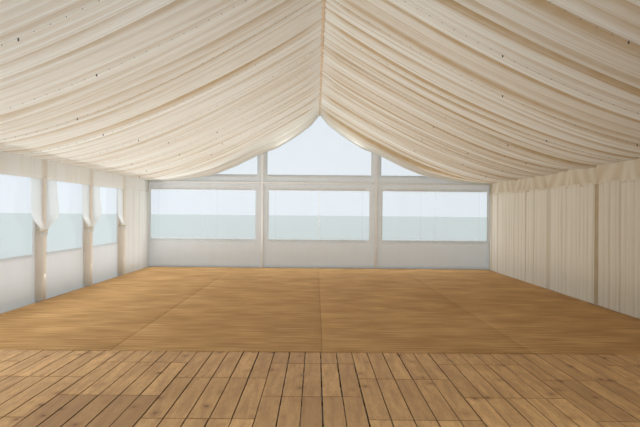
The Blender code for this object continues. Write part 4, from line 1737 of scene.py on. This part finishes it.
@dataclass
class FrameFittings:
    """The frame's metal finish, its stakes, and the bolts of its feet, knees and ridge joints."""

    finishes: Finishes
    metal: tuple[str, ...] = ("portal_frame", "ridge_rail", "left_eaves", "right_eaves", "far_gable_frame",
                              "near_left_upright", "near_right_upright", "near_transom")
    face: float = 0.0252
    below_top: float = 0.055
    stake_apart: float = 0.10
    knee_shares: tuple[float, ...] = (0.30, 0.75)
    leg_heights: tuple[float, ...] = (2.20, 2.10)
    ridge_places: tuple[float, ...] = (-0.16, -0.07, 0.07, 0.16)

    def hexagon(self, at: tuple[float, float, float], axis: int, reach: float, height: float) -> Surface:
        """A hexagon head: a six-sided rod with a slightly domed top.

        Args:
            at: Middle of its foot.
            axis: The axis that it stands along, 0 to 2.
            reach: Distance from its middle to a corner.
            height: Its height, below 0 where it points the other way.

        Returns:
            The head.
        """
        path = np.tile(np.asarray(at, float), (4, 1))
        path[:, axis] += np.array([0, 0.6, 0.9, 1.0]) * height
        return tube(path, np.array([1, 1, 0.9, 0.7]) * reach, 6)

    def through(self, x: float, y: float, height: float) -> list[Surface]:
        """The two heads of a bolt that goes through a profile of the frame along Y."""
        return [self.hexagon((x, y + face * self.face, height), 1, 0.008, face * 0.007) for face in (-1, 1)]

    def on_rafter(self, x: float, y: float) -> list[Surface]:
        """The two heads of a bolt through a rafter."""
        return self.through(x, y, float(TENT.rafter_top(x)) - self.below_top)

    def build(self) -> None:
        """Dress the frame's nodes, and add stakes and bolts."""
        for name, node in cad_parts.items():
            if name.startswith(self.metal):
                node.data.materials.clear()
                node.data.materials.append(self.finishes.metal)
        stakes, bolts = [], []
        leg = TENT.half_span - TENT.profile_depth / 2
        for index in range(1, TENT.bays + 2):
            y = TENT.frame_y(index)
            for side in (-1, 1):
                x = side * leg
                for foot_y in (y - self.stake_apart, y + self.stake_apart):
                    if abs(foot_y) < TENT.half_length - 0.01 or abs(y) < TENT.half_length - 0.01:
                        path = [[x, foot_y, 0.0125], [x, foot_y, 0.030], [x, foot_y, 0.038]]
                        stakes.append(tube(path, [0.011, 0.011, 0.009], 12))
                        bolts.append(self.hexagon((x, foot_y, 0.0382), 2, 0.016, 0.009))
                for share in self.knee_shares:
                    bolts += self.on_rafter(side * (leg - 0.18 * share), y)
                for height in self.leg_heights:
                    bolts += self.through(x, y, height)
            for x in self.ridge_places:
                bolts += self.on_rafter(x, y)
        make_piece("frame_stakes", join(stakes), self.finishes.steel, smooth=False)
        make_piece("frame_bolts", join(bolts), self.finishes.steel, smooth=False)


@dataclass
class TimberFloor:
    """Boarded panels on bearers, laid so that the panels' ends are staggered."""

    finishes: Finishes
    panel: tuple[float, float] = (0.7814, 1.545)
    first_column: float = -4.3942
    first_rows: tuple[float, float] = (-11.34, -10.565)
    boards: int = 5
    gap: float = 0.007
    end_gap: float = 0.011
    thickness: float = 0.0218
    usual_tones: tuple[float, ...] = (0.0, 0.05, 0.10, 0.16, 0.24)
    dark_tones: tuple[float, ...] = (0.42, 0.70)
    tone_spread: tuple[float, float] = (-0.12, 0.28)
    bearers: int = 29
    bearer: tuple[float, float] = (0.09, 0.038)
    seen_dark: tuple[tuple[int, int, float], ...] = ((3, 2, 0.72), (5, 2, 0.60), (5, 4, 0.42), (8, 3, 0.34))

    def panel_tone(self, random: np.random.Generator, column: int, row: int, start: float) -> float:
        """Tone of one panel: as in the photograph where it shows, and mixed elsewhere.

        Args:
            random: The deck's random numbers.
            column: The panel's column, from the left wall.
            row: Its row, from the near gable.
            start: Where it starts along the tent.

        Returns:
            The tone, from 0 pale to 1 dark.
        """
        for seen_column, seen_row, tone in self.seen_dark:
            if (column, row) == (seen_column, seen_row):
                return tone
        seen = -8.3 < start < -3.7
        return random.choice(self.usual_tones if seen else self.usual_tones + self.dark_tones)

    def build(self) -> None:
        """Make the boards and the bearers under them.

        Formula: columns of panels across the tent, each with five boards; every other column starts
        half a panel further; each board is a block with a small slope round its top, cut at the deck's
        edges, with its own tone. The bearers lie across the tent at even steps.
        """
        random = np.random.default_rng(5)
        half, end = TENT.leg_inner - 0.01, TENT.half_length - TENT.profile_width / 2 - 0.01
        width, length = self.panel
        edges = np.arange(self.first_column, half, width)
        low, high, tone = [], [], []
        for column, left in enumerate(edges):
            for row, start in enumerate(np.arange(self.first_rows[column % 2], end, length)):
                panel_tone = self.panel_tone(random, column, row, start)
                for number in range(self.boards):
                    x0 = left + number * width / self.boards + self.gap / 2
                    x1 = left + (number + 1) * width / self.boards - self.gap * random.uniform(0.3, 1.1)
                    y0, y1 = max(start + self.end_gap, -end), min(start + length - self.end_gap, end)
                    x0, x1 = max(x0, -half), min(x1, half)
                    if x1 - x0 > 0.02 and y1 - y0 > 0.02:
                        drop = random.uniform(0, 0.0012)
                        low.append([x0, y0, TENT.floor_top - self.thickness])
                        high.append([x1, y1, TENT.floor_top - drop])
                        tone.append(np.clip(panel_tone + random.uniform(*self.tone_spread), 0, 1))
        log.info("deck: %d boards, %d bearers", len(tone), self.bearers)
        deck = blocks(np.array(low), np.array(high), 0.0015, tone=np.array(tone))
        pine = self.finishes.boards
        make_piece("deck_boards", deck, pine, ["timber_floor"], smooth=False)
        wide, tall = self.bearer
        near = -end + np.arange(self.bearers) * ((2 * end - wide) / (self.bearers - 1))
        low, high = beside(-half, near, 0.0), beside(half, near + wide, tall)
        under = blocks(low, high, 0.002, tone=random.uniform(0, 0.6, self.bearers))
        make_piece("deck_bearers", under, self.finishes.bearers, smooth=False)


@dataclass
class CoirMatting:
    """Matting in rolls along the tent, slightly rippled."""

    finishes: Finishes
    rolls: int = 4
    near: float = -3.705
    half_width: float = 4.31
    thickness: float = 0.008
    rows: int = 420
    columns: int = 12
    highest_wave: float = 0.003

    def build(self) -> None:
        """Make the rolls side by side.

        Formula: each roll is a flat sheet with low wandering waves across it, drawn between random
        values every 0.07 and 0.16 m, and a bound edge that turns down to the deck.
        """
        far = TENT.half_length - TENT.profile_width / 2 - 0.01
        width = 2 * self.half_width / self.rolls
        noise = Noise(9)
        parts = []
        for roll in range(self.rolls):
            left = -self.half_width + roll * width
            y = np.linspace(self.near, far, self.rows)[:, None]
            middle = np.linspace(0.006, width - 0.008, self.columns)
            across = np.concatenate([[0, 0.002], middle, [width - 0.004, width - 0.002]])
            edge = np.array([0.0, 0.8] + [1.0] * self.columns + [0.8, 0.0])[None, :]
            ends = smooth_step(np.minimum(y - self.near, far - y), -0.003, 0.008)
            wave = noise.wander(y[:, 0], 0.16, 0.0018) + noise.wander(y[:, 0], 0.07, 0.0011)
            turn = noise.wander(across, 0.5, 1.0)[None, :]
            lift = np.clip(wave[:, None] * (0.8 + 0.2 * turn), -self.highest_wave, self.highest_wave)
            z = TENT.floor_top + 0.0006 + (self.thickness - 0.001 + lift) * edge * (0.1 + 0.9 * ends)
            x = left + across[None, :] + noise.wander(y[:, 0], 1.5, 0.001)[:, None]
            parts.append(grid(beside(x, y, z)).turned())
        piece = make_piece("coir_rolls", join(parts), self.finishes.coir, ["coir_mat"])


@dataclass
class LightStrings:
    """Strings of tiny lights held in the lining's folds, from eaves to ridge."""

    finishes: Finishes
    lining: RoofLining
    places: tuple[float, ...] = (-8.9, -7.4, -5.85, -3.7, -1.95, -0.15, 1.55, 3.05, 4.45, 5.4, 6.6, 7.8)
    reach: tuple[float, float] = (0.10, 4.30)
    lowered: float = 0.036
    bulb_gap: float = 0.125
    every: int = 13
    larger: float = 2.4

    def build(self) -> None:
        """Make the strings and their bulbs.

        Formula: the lining's curve lowered by 36 mm, with small slack waves; a bulb every 125 mm,
        and a larger one at every thirteenth place over the tent's outer part.
        """
        noise = Noise(17)
        strings, bulbs = [], []
        for place in self.places:
            for side in (-1, 1):
                out = np.linspace(*self.reach, 60)
                y = place + noise.wander(out, 0.7, 0.035) + noise.wander(out, 0.2, 0.008)
                z = self.lining.height(out, y) - self.lowered + noise.wander(out, 0.35, 0.004)
                path = beside(side * out, y, z)
                strings.append(tube(path, 0.0016, 5))
                places = np.arange(0.15 + 0.1 * noise.random.random(), 4.25, self.bulb_gap)
                first = noise.random.integers(0, self.every)
                for number, at in enumerate(places):
                    grown = self.larger if number % self.every == first and at > 1.6 else 1.0
                    at_y = np.interp(at, out, y) + noise.random.uniform(-0.006, 0.006)
                    heights = np.interp(at, out, z) - np.array([0.0, 0.004, 0.011]) * grown
                    bulb = beside(side * at, at_y, heights)
                    bulbs.append(tube(bulb, np.array([0.0024, 0.0036, 0.0024]) * grown, 6))
        make_piece("light_strings", join(strings), self.finishes.cable)
        make_piece("light_bulbs", join(bulbs), self.finishes.bulb)


class LightColour(Enum):
    """Colours of the lamps."""

    COOL = (0.93, 0.97, 1.0)
    WARM = (1.0, 0.93, 0.81)
    BLUE = (0.86, 0.93, 1.0)


@dataclass(frozen=True)
class SoftLamp:
    """A rectangular lamp: its place, turn in degrees, size, power in watts, and colour."""

    name: str
    at: tuple[float, float, float]
    turn: tuple[float, float, float]
    size: tuple[float, float]
    power: float
    colour: LightColour

    def build(self) -> None:
        """Make the lamp. The camera doesn't see it."""
        light = bpy.data.lights.new(self.name, "AREA")
        light.shape = "RECTANGLE"
        light.size, light.size_y = self.size
        light.energy = self.power
        light.color = self.colour.value
        lamp = bpy.data.objects.new(self.name, light)
        lamp.location = self.at
        lamp.rotation_euler = [math.radians(v) for v in self.turn]
        lamp.visible_camera = False
        bpy.context.scene.collection.objects.link(lamp)


@dataclass
class Studio:
    """Pale floor, soft light, and the camera where the photograph was taken."""

    eye: tuple[float, float, float] = (-0.08, -12.95, 1.47)
    yaw: float = 0.26
    roll: float = 0.5
    lens: float = 51.24
    ground_colour: tuple = (0.61, 0.66, 0.63)
    sky_colour: tuple = (0.80, 0.88, 0.95)
    sun_power: float = 0.7
    sun_angle: float = 24.0
    sun_turn: tuple[float, float, float] = (18, -44, 0)
    sun_colour: tuple = (1.0, 0.98, 0.95)
    daylight: tuple[SoftLamp, ...] = (
        SoftLamp("left_daylight", (-4.2, 1.5, 1.35), (0, -80, 0), (1.9, 17.5), 110, LightColour.COOL),
        SoftLamp("wall_glow", (-3.4, 1.0, 0.28), (0, 172, 0), (1.5, 17.0), 88, LightColour.COOL),
        SoftLamp("far_daylight", (0, 10.2, 1.5), (-80, 0, 0), (8.4, 2.2), 70, LightColour.COOL),
        SoftLamp("far_upper_daylight", (0, 10.25, 2.85), (-95, 0, 0), (2.2, 1.0), 13, LightColour.COOL),
        SoftLamp("near_daylight", (0, -9.9, 1.7), (68, 0, 0), (7.6, 2.0), 85, LightColour.COOL),
    )
    glow: tuple[SoftLamp, ...] = (
        SoftLamp("floor_glow", (0.4, 2.5, 0.3), (180, 0, 0), (7.0, 14.0), 122, LightColour.WARM),
        SoftLamp("left_glow", (-0.9, 0.0, 0.35), (180, 0, 0), (2.6, 18.0), 143, LightColour.BLUE),
    )

    def floor(self) -> None:
        """A plain pale square under the tent."""
        side = np.linspace(-600, 600, 3)
        x, y = np.meshgrid(side, side, indexing="ij")
        mesh = bpy.data.meshes.new("ground")
        points = beside(x, y, 0 * x - 0.0005).reshape(-1, 3)
        mesh.from_pydata(points.tolist(), [], grid_quads(3, 3).tolist())
        finish = Nodes("pale_ground")
        finish.set(Base_Color=(*self.ground_colour, 1.0), Roughness=0.9)
        mesh.materials.append(finish.material)
        ground = bpy.data.objects.new("ground", mesh)
        bpy.context.scene.collection.objects.link(ground)

    def sky(self) -> None:
        """An even pale sky, and plain colours in the picture."""
        world = bpy.data.worlds.new("pale_sky")
        world.use_nodes = True
        background = world.node_tree.nodes["Background"]
        background.inputs["Color"].default_value = (*self.sky_colour, 1.0)
        background.inputs["Strength"].default_value = 1.0
        bpy.context.scene.world = world
        bpy.context.scene.view_settings.view_transform = "Standard"

    def sun(self) -> None:
        """A weak sun with soft shadows."""
        light = bpy.data.lights.new("soft_sun", "SUN")
        light.energy = self.sun_power
        light.angle = math.radians(self.sun_angle)
        light.color = self.sun_colour
        lamp = bpy.data.objects.new("soft_sun", light)
        lamp.rotation_euler = [math.radians(v) for v in self.sun_turn]
        bpy.context.scene.collection.objects.link(lamp)

    def camera(self) -> None:
        """The camera: level, turned by the yaw, and then by the roll about its own axis."""
        camera = bpy.data.cameras.new("photo_view")
        camera.lens = self.lens
        camera.sensor_width = 36.0
        camera.clip_end = 2000
        eye = bpy.data.objects.new("photo_view", camera)
        eye.location = self.eye
        turn = (
            Matrix.Rotation(math.radians(-self.yaw), 4, "Z")
            @ Matrix.Rotation(math.radians(90), 4, "X")
            @ Matrix.Rotation(math.radians(self.roll), 4, "Z")
        )
        eye.rotation_euler = turn.to_euler()
        bpy.context.scene.collection.objects.link(eye)
        bpy.context.scene.camera = eye

    def build(self) -> None:
        """Make the floor, the sky, the lights and the camera, in this order."""
        self.floor()
        self.sky()
        for lamp in self.daylight:
            lamp.build()
        self.sun()
        for lamp in self.glow:
            lamp.build()
        self.camera()


def main() -> None:
    """Build the tent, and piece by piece."""
    logging.basicConfig(level=logging.INFO, format="%(name)s: %(message)s")
    finishes = Finishes()
    Studio().build()
    lining = RoofLining(finishes)
    for assembly in (
        lining,
        Pelmets(finishes),
        WallLinings(finishes),
        LegDrapes(finishes),
        RoofCovers(finishes),
        SideWalls(finishes),
        Gables(finishes),
        FrameFittings(finishes),
        TimberFloor(finishes),
        CoirMatting(finishes),
        LightStrings(finishes, lining),
    ):
        log.info("building %s", type(assembly).__name__)
        assembly.build()


if __name__ == "__main__":
    main()
